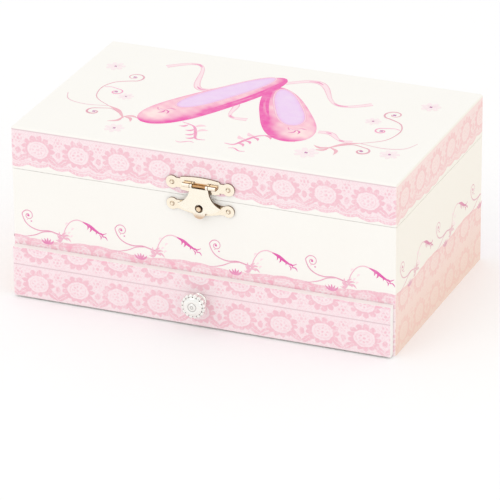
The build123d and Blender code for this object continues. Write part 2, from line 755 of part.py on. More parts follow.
# ---------------------------------------------------------------- movement: turning pieces
def make_winding_key():
    """Butterfly key with two round bows, screwed onto the arbor behind the box."""
    boss_start_y = half_depth + 3.6
    boss_radius, boss_length = 2.9, 7.0
    socket_depth = 6.0
    key_thickness = 2.0
    bow_x = 6.4
    bow_radius, bow_hole_radius = 5.0, 2.6
    bow_y = boss_start_y + 7.4
    with BuildPart() as key:
        with BuildSketch(facing_back(0, boss_start_y, key_z)):
            Circle(boss_radius)
        extrude(amount=boss_length)
        fillet(key.faces().sort_by(Axis.Y)[-1].edges(), 0.8)
        with BuildSketch(Plane.XY.offset(key_z - key_thickness / 2)):
            with Locations((bow_x, bow_y), (-bow_x, bow_y)):
                Circle(bow_radius)
            with Locations((0, bow_y - 1.5)):
                Rectangle(2 * bow_x, 5.0)
            with Locations((bow_x, bow_y), (-bow_x, bow_y)):
                Circle(bow_hole_radius, mode=Mode.SUBTRACT)
        extrude(amount=key_thickness)
        with BuildSketch(facing_front(0, boss_start_y, key_z)):
            Circle(arbor_radius)
        extrude(amount=-socket_depth, mode=Mode.SUBTRACT)
    write_step(key, "winding_key")

    arbor_start_y = crown_face_y + 0.4
    with BuildPart() as arbor:
        with BuildSketch(facing_back(0, arbor_start_y, key_z)):
            Circle(arbor_radius)
        extrude(amount=boss_start_y + socket_depth - arbor_start_y)
    write_step(arbor, "winding_arbor")


barrel_outer_radius = 11.5
barrel_inner_radius = 10.5


def make_spring_barrel():
    """Round cup that holds the mainspring, with crown teeth round its front face."""
    disc = 1.2
    barrel_depth = 9.2
    hub_radius, hub_height = 2.6, 1.2
    tooth_width = 1.0
    with BuildPart() as barrel:
        with BuildSketch(facing_back(0, crown_face_y, key_z)):
            Circle(barrel_outer_radius)
        extrude(amount=barrel_depth)
        with BuildSketch(facing_back(0, crown_face_y + disc, key_z)):
            Circle(barrel_inner_radius)
        extrude(amount=barrel_depth - disc, mode=Mode.SUBTRACT)
        with BuildSketch(facing_back(0, crown_face_y, key_z)):
            Circle(hub_radius)
        extrude(amount=disc + hub_height)
        with BuildSketch(facing_front(0, crown_face_y, key_z)):
            with PolarLocations(crown_radius, crown_teeth, start_angle=180.0 / crown_teeth):
                Rectangle(tooth_width, train_tooth)
        extrude(amount=crown_tooth_height)
        with Locations(facing_front(0, crown_face_y, key_z)):
            Hole(radius=arbor_radius + running_clearance)
    write_step(barrel, "spring_barrel")


def make_mainspring():
    """Flat strip wound in a spiral, with its outer end against the barrel's wall."""
    turns = 5
    inner_radius = 3.2
    outer_radius = barrel_inner_radius - 0.5
    strip = 0.35
    steps_per_turn = 12
    points = []
    for step in range(turns * steps_per_turn + 1):
        share = step / (turns * steps_per_turn)
        radius = inner_radius + share * (outer_radius - inner_radius)
        angle = 2 * pi * step / steps_per_turn
        points.append((radius * cos(angle), radius * sin(angle)))
    spring_plane = facing_back(0, crown_face_y + 2.8, key_z)
    with BuildPart() as mainspring:
        with BuildSketch(spring_plane):
            with BuildLine() as spiral:
                Spline(*points)
            trace(spiral.line, line_width=strip)
        extrude(amount=6.0)
    write_step(mainspring, "mainspring")


def spur_teeth(root_radius, tip_radius, count, thickness):
    """Add straight radial teeth round the origin of the sketch being drawn."""
    length = tip_radius - root_radius + 0.3
    with PolarLocations(tip_radius - length / 2, count):
        Rectangle(length, thickness)


def make_cylinder_train():
    """Pinned cylinder with its arbor, the pinion the barrel drives, and the governor's wheel."""
    centre = (0, spindle_y)
    pinion_width = 1.4
    pinion_bottom_z = key_z + crown_radius - pinion_width / 2
    pinion_root_radius = pinion_radius - 0.7
    wheel_root_radius = governor_wheel_radius - 0.5
    arbor_foot_z = lower_bridge_z[0] + 0.2
    collar_radius, collar_height, collar_bore = 2.4, 3.3, 2.9
    collar_bottom_z = stage_top + 0.5
    with BuildPart() as arbor:
        with BuildSketch(Plane.XY.offset(arbor_foot_z)):
            with Locations(centre):
                Circle(spindle_radius)
        extrude(amount=collar_bottom_z + collar_bore - arbor_foot_z)
        with BuildSketch(Plane.XY.offset(pinion_bottom_z)):
            with Locations(centre):
                Circle(pinion_root_radius)
        extrude(amount=pinion_width)
        with BuildSketch(Plane((0, spindle_y, pinion_bottom_z), x_dir=(0, 1, 0), z_dir=(0, 0, 1))):
            spur_teeth(pinion_root_radius, pinion_tip_radius, pinion_teeth, train_tooth)
        extrude(amount=pinion_width)
    write_step(arbor, "cylinder_arbor")

    with BuildPart() as cylinder:
        with BuildSketch(Plane.XY.offset(cylinder_z[0])):
            with Locations(centre):
                Circle(cylinder_radius)
                Circle(spindle_radius, mode=Mode.SUBTRACT)
        extrude(amount=cylinder_z[1] - cylinder_z[0])
        add_cylinder_pins()
    write_step(cylinder, "pin_cylinder")

    with BuildPart() as wheel:
        with BuildSketch(Plane.XY.offset(wheel_z[0])):
            with Locations(centre):
                Circle(wheel_root_radius)
                Circle(spindle_radius, mode=Mode.SUBTRACT)
        extrude(amount=wheel_z[1] - wheel_z[0])
        toward_governor = (cos(governor_angle), sin(governor_angle), 0)
        with BuildSketch(Plane((0, spindle_y, wheel_z[0]), x_dir=toward_governor, z_dir=(0, 0, 1))):
            spur_teeth(wheel_root_radius, governor_wheel_radius + mesh_depth / 2,
                       governor_wheel_teeth, governor_tooth)
        extrude(amount=wheel_z[1] - wheel_z[0])
    write_step(wheel, "cylinder_wheel")

    with BuildPart() as collar:
        with BuildSketch(Plane.XY.offset(collar_bottom_z)):
            with Locations(centre):
                Circle(collar_radius)
        extrude(amount=collar_height)
        fillet(collar.faces().sort_by(Axis.Z)[-1].edges(), 0.8)
        with BuildSketch(Plane.XY.offset(collar_bottom_z)):
            with Locations(centre):
                Circle(spindle_radius)
        extrude(amount=collar_bore, mode=Mode.SUBTRACT)
    write_step(collar, "spindle_collar")


def add_cylinder_pins():
    """Small pins round the cylinder, one row to each comb tooth, set out by a simple rule."""
    rows = 14
    pins_per_row = 5
    pin_radius, pin_length = 0.2, 0.5
    margin = 0.4                # bare ends of the cylinder
    pin_root_radius = 0.97 * cylinder_radius
    row_pitch = (cylinder_z[1] - cylinder_z[0] - 2 * margin) / rows
    places = []
    for row in range(rows):
        height = cylinder_z[0] + margin + (row + 0.5) * row_pitch
        for index in range(pins_per_row):
            angle = 360.0 * index / pins_per_row + 37.0 * row + 11.0 * index * index
            outward = (cos(radians(angle)), sin(radians(angle)), 0)
            root = (outward[0] * pin_root_radius, spindle_y + outward[1] * pin_root_radius, height)
            places.append(Plane(origin=root, z_dir=outward))
    with Locations(*places):
        Cylinder(pin_radius, cylinder_radius - pin_root_radius + pin_length,
                 align=(Align.CENTER, Align.CENTER, Align.MIN))


def make_governor():
    """Upright shaft with a small pinion and a two-bladed air brake."""
    centre = (governor_x, governor_y)
    back_to_wheel = (-cos(governor_angle), -sin(governor_angle), 0)
    half_tooth = 180.0 / governor_pinion_teeth
    shaft_foot_z = 27.4
    hub_radius = 1.3
    fan_bottom_z, fan_height = 30.5, 9.0
    with BuildPart() as shaft:
        with BuildSketch(Plane.XY.offset(shaft_foot_z)):
            with Locations(centre):
                Circle(governor_shaft_radius)
        extrude(amount=upper_bridge_z[1] - 0.2 - shaft_foot_z)
        with BuildSketch(Plane.XY.offset(wheel_z[0] - 0.1)):
            with Locations(centre):
                Circle(hub_radius)
        extrude(amount=wheel_z[1] - wheel_z[0] + 0.2)
        pinion_plane = Plane((governor_x, governor_y, wheel_z[0] - 0.1), x_dir=back_to_wheel,
                             z_dir=(0, 0, 1)).rotated((0, 0, half_tooth))
        with BuildSketch(pinion_plane):
            spur_teeth(hub_radius, governor_pinion_radius + mesh_depth / 2, governor_pinion_teeth,
                       governor_tooth)
        extrude(amount=wheel_z[1] - wheel_z[0] + 0.2)
    write_step(shaft, "governor_shaft")

    with BuildPart() as fan:
        with BuildSketch(Plane.XY.offset(fan_bottom_z)):
            with Locations(centre):
                Circle(1.5)
                Rectangle(2 * fan_reach, 0.8)
                Circle(governor_shaft_radius, mode=Mode.SUBTRACT)
        extrude(amount=fan_height)
    write_step(fan, "governor_fan")


def make_stop_wire():
    """Upright wire whose lower finger brakes the governor when the lid pushes its top down."""
    below_card = 0.3
    wire_z = (26.0, lid_inner_top - lid_card - below_card)
    finger_z = 35.0
    finger_radius = 0.5
    finger_gap = 0.5            # short of the blades
    finger_reach = fan_reach + finger_gap
    toward = Vector(governor_x - stop_wire_x, governor_y - stop_wire_y, 0)
    finger_length = toward.length - finger_reach
    with BuildPart() as stop_wire:
        with BuildSketch(Plane.XY.offset(wire_z[0])):
            with Locations((stop_wire_x, stop_wire_y)):
                Circle(stop_wire_radius)
        extrude(amount=wire_z[1] - wire_z[0])
        with BuildSketch(Plane(origin=(stop_wire_x, stop_wire_y, finger_z), z_dir=toward)):
            Circle(finger_radius)
        extrude(amount=finger_length)
        fillet(stop_wire.faces().sort_by(Axis.Z)[-1].edges(), finger_radius)
    write_step(stop_wire, "stop_wire")


# ---------------------------------------------------------------- ballerina
spring_start = 1.6          # along her axis, from the point where the spring bends
spring_length = 10.0
toe_height = 12.6
hip_height = 33.0
tutu_radius = 14.0


def limb(start, end, start_radius, end_radius):
    """Add a tapered limb with round ends between two points of the figure."""
    direction = Vector(*end) - Vector(*start)
    with Locations(Plane(origin=start, z_dir=direction)):
        Cone(start_radius, end_radius, direction.length, align=(Align.CENTER, Align.CENTER, Align.MIN))
    with Locations(start):
        Sphere(start_radius)
    with Locations(end):
        Sphere(end_radius)


def make_ballerina_spring():
    coils = 7
    wire_radius = 0.35
    coil_radius = 1.5
    pitch = (spring_length - 2 * wire_radius) / coils
    coil_start = fold_plane.offset(spring_start + wire_radius).origin
    with BuildPart() as spring:
        with BuildLine() as path:
            Helix(pitch, coils * pitch, coil_radius, center=coil_start, direction=fold_axis)
        with BuildSketch(Plane(origin=path.line @ 0, z_dir=path.line % 0)):
            Circle(wire_radius)
        sweep(path=path.line)
    write_step(spring, "ballerina_spring")


def make_ballerina_figure():
    """Dancer on the point of one foot, the other drawn up to the knee, arms curved overhead."""
    ferrule_bottom = spring_start + spring_length + 0.2
    ankle, calf, knee = (0, 0, 16.2), (0, 0.2, 20.5), (0.2, -0.3, 25.0)
    raised_knee, raised_toe = (-7.4, -3.2, 27.6), (-1.5, -1.6, 24.0)
    waist, chest, neck = (0, 0, 38.0), (0, -0.3, 43.2), (0, 0, 47.6)
    ankle_radius, calf_radius, knee_radius = 0.95, 1.55, 1.35
    hip_radius, waist_radius, chest_radius = 3.1, 2.2, 3.0
    with BuildPart(fold_plane) as figure:
        rod((0, 0, ferrule_bottom), 2.1, 1.6)
        limb((0, 0, toe_height), ankle, 0.75, ankle_radius)
        limb(ankle, calf, ankle_radius, calf_radius)
        limb(calf, knee, calf_radius, knee_radius)
        limb(knee, (0.9, 0, hip_height), knee_radius, 2.1)
        limb((-1.2, 0, hip_height), raised_knee, 2.0, knee_radius)
        limb(raised_knee, raised_toe, knee_radius, 0.75)
        limb((0, 0, hip_height - 0.5), waist, hip_radius, waist_radius)
        limb(waist, chest, waist_radius, chest_radius)
        limb(chest, neck, 1.8, 1.15)
        limb((0, -0.2, 50.8), (0, 0, 52.0), 2.5, 2.8)       # head
        limb((0, 1.6, 53.6), (0, 2.2, 54.2), 1.5, 1.4)      # hair bun
        for side in (-1, 1):
            shoulder, elbow = (side * 2.6, -0.2, 44.6), (side * 7.0, -1.2, 49.0)
            wrist, fingers = (side * 5.4, -2.2, 54.2), (side * 1.6, -2.6, 57.6)
            limb(shoulder, elbow, 1.15, 0.85)
            limb(elbow, wrist, 0.85, 0.7)
            limb(wrist, fingers, 0.7, 0.55)
    write_step(figure, "ballerina_figure")


def make_ballerina_tutu():
    """Stiff net skirt: a shallow cone round the hips."""
    waist_radius = 3.5
    waist_z = (34.8, 37.6)      # underside and top at the waist, along her axis
    rim_z = (34.6, 35.6)        # and at the rim
    with BuildPart() as tutu:
        with BuildSketch(fold_plane * Plane.XZ):
            with BuildLine():
                Polyline((waist_radius, waist_z[1]), (tutu_radius, rim_z[1]),
                         (tutu_radius, rim_z[0]), (waist_radius, waist_z[0]), close=True)
            make_face()
        revolve(axis=Axis(fold_point, fold_axis))
    write_step(tutu, "ballerina_tutu")


make_bottom_board()
make_side_boards()
make_back_board()
make_front_board()
make_tray()
make_stage()
make_linings()
make_ring_rolls()
make_lid_boards()
make_lid_inside()
make_hinges()
make_latch_plates()
make_latch_flap()
make_nails()
make_drawer()
make_knob()
make_bedplate()
make_movement_screws()
make_comb()
make_bridges()
make_winding_key()
make_spring_barrel()
make_mainspring()
make_cylinder_train()
make_governor()
make_stop_wire()
make_ballerina_spring()
make_ballerina_figure()
make_ballerina_tutu()
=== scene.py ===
import json
from math import ceil, cos, exp, hypot, pi, radians, sin

import bmesh
import bpy
from mathutils import Matrix, Vector
from mathutils.geometry import delaunay_2d_cdt


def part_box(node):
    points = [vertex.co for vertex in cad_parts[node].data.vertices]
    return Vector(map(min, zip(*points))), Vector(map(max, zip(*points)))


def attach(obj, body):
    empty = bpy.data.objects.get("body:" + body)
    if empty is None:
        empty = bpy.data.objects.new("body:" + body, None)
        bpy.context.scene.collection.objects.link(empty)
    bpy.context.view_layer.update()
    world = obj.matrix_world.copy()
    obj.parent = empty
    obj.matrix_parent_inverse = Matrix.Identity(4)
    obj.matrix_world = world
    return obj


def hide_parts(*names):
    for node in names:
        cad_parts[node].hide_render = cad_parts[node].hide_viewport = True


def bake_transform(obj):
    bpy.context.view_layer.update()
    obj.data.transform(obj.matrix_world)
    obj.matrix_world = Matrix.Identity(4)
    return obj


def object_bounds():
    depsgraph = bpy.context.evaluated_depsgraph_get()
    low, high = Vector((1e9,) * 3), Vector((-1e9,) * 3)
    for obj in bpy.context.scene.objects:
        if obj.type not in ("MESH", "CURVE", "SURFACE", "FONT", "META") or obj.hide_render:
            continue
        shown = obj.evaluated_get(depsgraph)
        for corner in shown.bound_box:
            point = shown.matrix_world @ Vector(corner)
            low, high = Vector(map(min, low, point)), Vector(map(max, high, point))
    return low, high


# Looks of the musical jewellery box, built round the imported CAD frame.
# Metres; +X right, front towards -Y, +Z up.  Lengths written in millimetres are multiplied by mm.

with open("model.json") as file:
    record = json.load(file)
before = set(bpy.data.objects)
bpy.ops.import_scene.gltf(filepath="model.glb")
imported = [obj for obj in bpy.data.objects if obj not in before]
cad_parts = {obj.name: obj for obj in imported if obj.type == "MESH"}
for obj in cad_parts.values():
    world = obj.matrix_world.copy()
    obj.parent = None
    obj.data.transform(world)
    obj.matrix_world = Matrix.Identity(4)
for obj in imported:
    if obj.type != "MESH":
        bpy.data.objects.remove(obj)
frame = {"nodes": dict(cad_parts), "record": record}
cad_low, cad_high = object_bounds()
cad_nodes = frame["nodes"]
mm = 0.001

# ---------------------------------------------------------------- places taken from the frame
case_front_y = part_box("front_board")[0].y / mm
case_back_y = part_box("back_board")[1].y / mm
case_side_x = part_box("right_side_board")[1].x / mm
lid_top_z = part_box("lid_top_board")[1].z / mm
drawer_face_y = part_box("drawer_front")[0].y / mm
drawer_top_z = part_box("drawer_front")[1].z / mm
skin = 0.06                 # how near a surface lies to the box's outside to count as covered
fold_point = Vector((0.0, 41.775, 59.5))    # where the ballerina folds, above the spindle's collar
fold_angle = radians(80)
lace_case_line = 18.0       # height of the lace's straight border on the case and the drawer
lace_lid_line = 87.7        # and on the lid
lace_pitch = 21.4           # from one lace medallion to the next
scroll_pitch = 49.7         # from one printed scroll to the next
scroll_z = 42.8             # height of the scrolls' curls
wide_row_start = -92.2      # place of the first curl across the front and the back
side_row_start = -52.4      # and along the sides


# ---------------------------------------------------------------- colours
def colour(red, green, blue):
    """A colour given as 0 to 255 display values, as the linear RGBA that Blender's sockets take."""
    def linear(value):
        share = value / 255
        return share / 12.92 if share <= 0.04045 else ((share + 0.055) / 1.055) ** 2.4
    return (linear(red), linear(green), linear(blue), 1.0)


paper_white = colour(250, 248, 243)
lace_ground = colour(250, 234, 237)
lace_pink = colour(243, 197, 208)
lace_rose = colour(246, 184, 202)
lace_line = colour(222, 196, 202)
ink_magenta = colour(226, 84, 170)
ink_rose = colour(240, 150, 190)
ink_blush = colour(250, 208, 220)
ink_pale = colour(252, 226, 232)
ink_petal = colour(250, 234, 237)
ink_lavender = colour(238, 208, 242)
ink_mauve = colour(196, 120, 176)
ink_dusty = colour(226, 160, 178)


# ---------------------------------------------------------------- node helpers
def plug(tree, value, socket):
    """Feed a socket from a Field or another socket, or give it a plain value."""
    if isinstance(value, Field):
        value = value.socket
    if isinstance(value, bpy.types.NodeSocket):
        tree.links.new(value, socket)
    else:
        socket.default_value = value


def new_node(tree, kind, inputs=None, **settings):
    """A shader node with the given settings, whose inputs, by name or number, are fed."""
    node = tree.nodes.new("ShaderNode" + kind)
    for name, value in settings.items():
        setattr(node, name, value)
    for socket, value in (inputs or {}).items():
        plug(tree, value, node.inputs[socket])
    return node


class Field:
    """A number that varies over a surface. Arithmetic on it adds Math nodes to its material."""

    def __init__(self, tree, socket):
        self.tree = tree
        self.socket = socket

    def apply(self, operation, *others):
        node = new_node(self.tree, "Math", dict(enumerate((self, *others))), operation=operation)
        return Field(self.tree, node.outputs[0])

    def __add__(self, other):
        return self.apply("ADD", other)

    def __sub__(self, other):
        return self.apply("SUBTRACT", other)

    def __rsub__(self, other):
        return (self * -1.0) + other

    def __mul__(self, other):
        return self.apply("MULTIPLY", other)

    def __truediv__(self, other):
        return self.apply("DIVIDE", other)

    __radd__ = __add__
    __rmul__ = __mul__

    def cosine(self):
        return self.apply("COSINE")

    def size(self):
        return self.apply("ABSOLUTE")

    def lowest(self, other):
        return self.apply("MINIMUM", other)

    def highest(self, other):
        return self.apply("MAXIMUM", other)

    def wrap(self, half):
        """Repeat every 2 * half, from -half to half."""
        return self.apply("WRAP", half, -half)

    def above(self, edge, blur=0.12):
        """0 below an edge and 1 above it, with a soft step of the given width."""
        inputs = {"Value": self, "From Min": edge - blur / 2, "From Max": edge + blur / 2}
        node = new_node(self.tree, "MapRange", inputs, interpolation_type="SMOOTHSTEP")
        return Field(self.tree, node.outputs[0])

    def below(self, edge, blur=0.12):
        return 1.0 - self.above(edge, blur)


def length_of(x, y):
    return (x * x + y * y).apply("SQRT")


class Finish:
    """One procedural material: a Principled shader and short calls that build its nodes."""

    def __init__(self, name, **sockets):
        self.material = bpy.data.materials.new(name)
        self.material.use_nodes = True
        self.tree = self.material.node_tree
        self.shader = self.tree.nodes["Principled BSDF"]
        for socket, value in sockets.items():
            self.set(socket.replace("_", " "), value)
        self.coordinates = new_node(self.tree, "TexCoord")
        inputs = {0: self.coordinates.outputs["Object"], "Scale": 1 / mm}
        self.place = new_node(self.tree, "VectorMath", inputs, operation="SCALE").outputs[0]
        split = new_node(self.tree, "SeparateXYZ", {0: self.place})
        self.x, self.y, self.z = (Field(self.tree, output) for output in split.outputs)

    def noise(self, size, detail=3.0, stretch=(1.0, 1.0, 1.0), roughness=0.5):
        """Soft noise from 0 to 1 whose blotches are about size millimetres across."""
        stretched = new_node(self.tree, "VectorMath", {0: self.place, 1: stretch}, operation="MULTIPLY")
        node = new_node(self.tree, "TexNoise", {"Vector": stretched.outputs[0], "Scale": 1 / size,
                                                "Detail": detail, "Roughness": roughness})
        return Field(self.tree, node.outputs["Fac"])

    def mix(self, share, first, second):
        """A colour between first, at share 0, and second, at share 1."""
        factor, first_colour, second_colour, mixed_colour = 0, 6, 7, 2      # the node's socket numbers
        inputs = {factor: share, first_colour: first, second_colour: second}
        return new_node(self.tree, "Mix", inputs, data_type="RGBA").outputs[mixed_colour]

    def coat(self, shade, *coats):
        """A colour with further ones laid over it; each coat is a share and a colour."""
        for share, tint in coats:
            shade = self.mix(share, shade, tint)
        return shade

    def held(self, name):
        """A colour or number stored at each of the mesh's points."""
        return new_node(self.tree, "Attribute", attribute_name=name)

    def facing_front(self):
        """1 where the surface faces forwards or backwards, down to 0 where it faces sideways."""
        split = new_node(self.tree, "SeparateXYZ", {0: self.coordinates.outputs["Normal"]})
        return Field(self.tree, split.outputs["Y"]).size()

    def set(self, socket, value):
        plug(self.tree, value, self.shader.inputs[socket])

    def bump(self, height, depth):
        """Relief of the given depth in millimetres where height goes from 0 to 1."""
        node = new_node(self.tree, "Bump", {"Strength": 1.0, "Distance": depth * mm, "Height": height})
        self.set("Normal", node.outputs[0])

    def done(self, shade, roughness, height, depth):
        """Set the colour, the roughness and the relief, and return the material."""
        self.set("Base Color", shade)
        self.set("Roughness", roughness)
        self.bump(height, depth)
        return self.material


# ---------------------------------------------------------------- printed paper
def lace(finish, along, across, hem_at):
    """A printed lace strip, measured in millimetres from its straight border.

    Returns how pink the lace is at each point. hem_at is where its wavy edge runs.
    """
    middle = 9.2                # height of the medallions' middle
    flatten = 0.8               # they are wider than high
    hoop = 5.3                  # radius of their pale middle
    reach = 8.7                 # about the radius of their petals' tips
    lobes, seeds = 13, 8        # petals round the hoop, and seeds inside it
    seed_ring = 2.5
    spot_height = 4.0           # height of the spotted rounds between two medallions
    spot_ring = 1.9
    bloom_height = 10.6         # and of the small flower above them
    leaf_side, leaf_height = 2.9, 14.0                      # middle of the leaves at each side of it
    leaf_length, leaf_width, lean = 3.6, 1.5, radians(34)
    hem_width, inner_hem_at, holes_per_medallion = 1.4, 2.3, 12
    mesh = 0.7                  # half the net's pitch
    wobble = 1.5                # how far the printed threads stray from their drawn places

    along = along + (finish.noise(2.6, 2.0) - 0.5) * wobble
    across = across + (finish.noise(3.1, 2.0) - 0.5) * wobble
    x = along.wrap(lace_pitch / 2)
    y = (across - middle) / flatten
    radius = length_of(x, y)
    angle = y.apply("ARCTAN2", x)
    lobe = (angle * lobes).cosine()
    crown = y / 8.0 + 0.75      # the ring is fuller towards the strip's border
    petals = radius.above(hoop + 0.3, 0.5) * radius.below(lobe * 0.6 + reach - crown * 0.6, 0.6)
    slits = lobe.below(-0.72, 0.5) * radius.above(hoop + 1.4, 0.8)
    petals = petals * (1.0 - slits * 0.7)
    inner_rim = (radius - hoop + 1.1).size().below(0.3, 0.3)
    seed_row = (radius - seed_ring).size().below(0.62, 0.35) * (angle * seeds).cosine().above(-0.1, 0.5)
    heart = radius.below(0.8, 0.5)

    between = (along + lace_pitch / 2).wrap(lace_pitch / 2)
    spot_radius = length_of(between, across - spot_height)
    spots = spot_radius.below(0.75, 0.4)
    spot_angle = (across - spot_height).apply("ARCTAN2", between)
    ring_spots = (spot_angle * 6.0).cosine().above(-0.2, 0.5)
    ring_spots = ring_spots * (spot_radius - spot_ring).size().below(0.4, 0.3)
    bloom = length_of(between, (across - bloom_height) / 1.3).below(1.35, 0.4)

    side = between.size() - leaf_side
    drop = across - leaf_height
    rise = side * sin(lean) + drop * cos(lean)
    leaf_size = length_of((side * cos(lean) - drop * sin(lean)) / leaf_length, rise / leaf_width)
    leaves = leaf_size.below(1.0, 0.25) * rise.size().above(0.14, 0.12)

    from_hem = hem_at - across
    hem = from_hem.above(0.05, 0.2) * from_hem.below(hem_width, 0.4)
    hem_holes = length_of(along.wrap(lace_pitch / holes_per_medallion / 2), from_hem - 0.8).below(0.28, 0.2)
    inner_hem = (from_hem - inner_hem_at).size().below(0.3, 0.2)
    threads = [(across * way + along).wrap(mesh).size().below(0.12, 0.15) for way in (1, -1)]
    net_lines = threads[0].highest(threads[1]) * 0.26 * radius.above(reach + 0.2, 0.6)

    solid = petals
    for part, share in ((leaves, 0.9), (hem * (1.0 - hem_holes), 0.75), (inner_hem, 0.5), (bloom, 0.75),
                        (spots, 0.75), (ring_spots, 0.6), (seed_row, 0.5), (heart, 0.55), (inner_rim, 0.25),
                        (net_lines, 1.0)):
        solid = solid.highest(part * share)
    weave = finish.noise(0.9, 3.0, roughness=0.6)
    cloud = finish.noise(7.0, 3.0)
    mottled = solid * (weave * 1.7 + 0.1) * (cloud * 1.6 + 0.15) + (weave - 0.42).highest(0.0) * 1.2
    return mottled.lowest(1.0)


def wavy_edge(along, depth, scallop):
    """How deep a lace strip reaches: small scallops of the given height on a slower wave."""
    slow_height, slow_start = 0.8, 0.9
    scallops = (along * (2 * pi / lace_pitch)).cosine().size() * scallop
    slow = (along * (2 * pi / scroll_pitch) + slow_start).cosine() * slow_height
    return scallops + slow + (depth - scallop / 2)


def printed_paper(name, line_z, depth, both_ways=False, front_only=False):
    """Satin paper with printed lace on the box's outside, and plain paper everywhere else.

    The lace hangs from its straight border at line_z down to the given depth. both_ways mirrors it upwards
    instead, and fills the paper below the border. front_only leaves the side and top edges plain.
    """
    side_shift = 7.0            # how far forwards the lace on the sides is shifted
    far_down = 30.0             # more than enough to carry the lace down to the bottom
    wear = 0.55                 # width of the rubbed corners
    finish = Finish(name, Specular_IOR_Level=0.3)
    x, y, z = finish.x, finish.y, finish.z
    on_front_or_back = y.size().above(case_back_y - 0.8, 0.4)
    along = x * on_front_or_back + (y + side_shift) * (1.0 - on_front_or_back)
    across = (z - line_z).size() if both_ways else line_z - z
    hem_at = wavy_edge(along, depth, 0.4 if both_ways else 1.3)
    if both_ways:
        hem_at = hem_at + z.below(line_z) * far_down
    pink = lace(finish, along, across, hem_at)
    covered = (hem_at - across).above(0.0, 0.2)
    border = across.size().below(0.3, 0.25)
    if not both_ways:
        covered = covered * across.above(0.0, 0.1)
    top_face = z.above(lid_top_z - 0.9, 0.2)
    fibre = finish.noise(0.35, 2.0, roughness=0.6)
    cloud = finish.noise(40.0, 2.0)
    paper = finish.mix(cloud * 0.5, paper_white, colour(247, 244, 237))
    printed = finish.mix(pink, lace_ground, lace_pink)
    if both_ways:
        # the lace above the drawer is printed redder, in streaks
        streak = finish.noise(4.0, 3.0, stretch=(0.6, 0.6, 1.7), roughness=0.6)
        near_drawer = z.below(drawer_top_z + 2.4, 2.0)
        band = on_front_or_back * z.above(drawer_top_z - 1.0, 1.0)
        rose_share = band * ((streak - 0.5) * 4.0 + near_drawer * 0.3) * (pink * 0.5 + 0.5)
        printed = finish.mix(rose_share.lowest(1.0).highest(0.0), printed, lace_rose)
    if not front_only:
        # painted shade: the sides' paper and lace are darker and warmer than the front, the lace more so low
        # down
        on_side = x.size().above(case_side_x - 0.3, 0.3)
        printed = finish.mix(on_side * (z.below(24.0, 50.0) * 0.3 + 0.34), printed, colour(238, 208, 182))
        paper = finish.mix(on_side * 0.5, paper, colour(240, 232, 216))
        border = border * (1.0 - on_side)
    corner = x.size().above(case_side_x - wear, 0.5) * y.size().above(case_back_y - wear, 0.5)
    rubbed = corner * finish.noise(2.2, 3.0).above(0.5, 0.3) * 0.5
    not_top = 1.0 - top_face
    skin_colour = finish.coat(paper, (covered * not_top, printed), (border * not_top * 0.8, lace_line),
                              (rubbed, colour(252, 247, 244)))

    if front_only:
        outside = y.below(drawer_face_y + 0.25, 0.1)
    else:
        outside = x.size().above(case_side_x - skin - 0.9, 0.05)
        outside = outside.highest(y.size().above(case_back_y - skin, 0.02))
        outside = outside.highest(z.above(lid_top_z - 1.4, 0.05))
    shade = finish.mix(outside, colour(246, 243, 239), skin_colour)
    return finish.done(shade, fibre * 0.16 + 0.42, fibre * 0.6 + finish.noise(1.6, 2.0) * 0.4, 0.012)


# ---------------------------------------------------------------- other materials
def cloth(name, base, shade, thread=0.32, nap=0.5):
    """Short-napped woven cloth: crossed threads, a soft pile and slow changes of shade."""
    finish = Finish(name, Sheen_Weight=nap, Sheen_Roughness=0.4)
    warp = ((finish.x + finish.z) * (2 * pi / thread)).cosine()
    weft = ((finish.y + finish.z * 0.5) * (2 * pi / thread)).cosine()
    weave = (warp * weft) * 0.25 + 0.5
    pile = finish.noise(0.25, 2.0)
    cloud = finish.noise(9.0, 2.0)
    shade = finish.mix(weave * 0.35 + pile * 0.35 + cloud * 0.5 - 0.15, base, shade)
    return finish.done(shade, pile * 0.2 + 0.7, weave * 0.5 + pile * 0.5, 0.05)


def fibreboard(name):
    """Pressed wood fibre, seen where paper and cloth leave the boards bare."""
    finish = Finish(name)
    flecks = finish.noise(0.9, 4.0, stretch=(0.35, 1.0, 1.0), roughness=0.7)
    cloud = finish.noise(18.0, 2.0)
    shade = finish.mix(flecks * 0.8 + cloud * 0.3, colour(206, 172, 132), colour(164, 126, 86))
    return finish.done(shade, flecks * 0.2 + 0.68, flecks, 0.06)


def metal(name, base, dark, roughness, grain=(1.0, 1.0, 1.0), grain_size=0.4, depth=0.004, painted_edge_shade=None,
          edge_shade_reach=0.45, browner_below=None):
    """Plated or ground metal with fine grain and handling marks.

    painted_edge_shade is a painted shade, darker and browner, on faces that don't look forwards, such as a
    stamped sheet's edges; edge_shade_reach, up to 1, is how far it spreads over round shoulders. Below
    browner_below the colour turns browner towards the bottom.
    """
    finish = Finish(name, Metallic=1.0)
    scratches = finish.noise(grain_size, 3.0, stretch=grain, roughness=0.6)
    cloud = finish.noise(5.0, 3.0)
    shade = finish.mix(scratches * 0.3 + cloud * 0.35, base, dark)
    if painted_edge_shade:
        # painted shade: darker and browner on faces that turn away from the front, spreading over round
        # shoulders
        shade = finish.mix(finish.facing_front().below(edge_shade_reach, 0.5), shade, painted_edge_shade)
        # browner towards the bottom below the given height
        if browner_below:
            shade = finish.mix(finish.z.below(browner_below, 3.0) * 0.7, shade, colour(196, 150, 108))
    return finish.done(shade, scratches * 0.12 + cloud * 0.1 + (roughness - 0.1), scratches, depth)


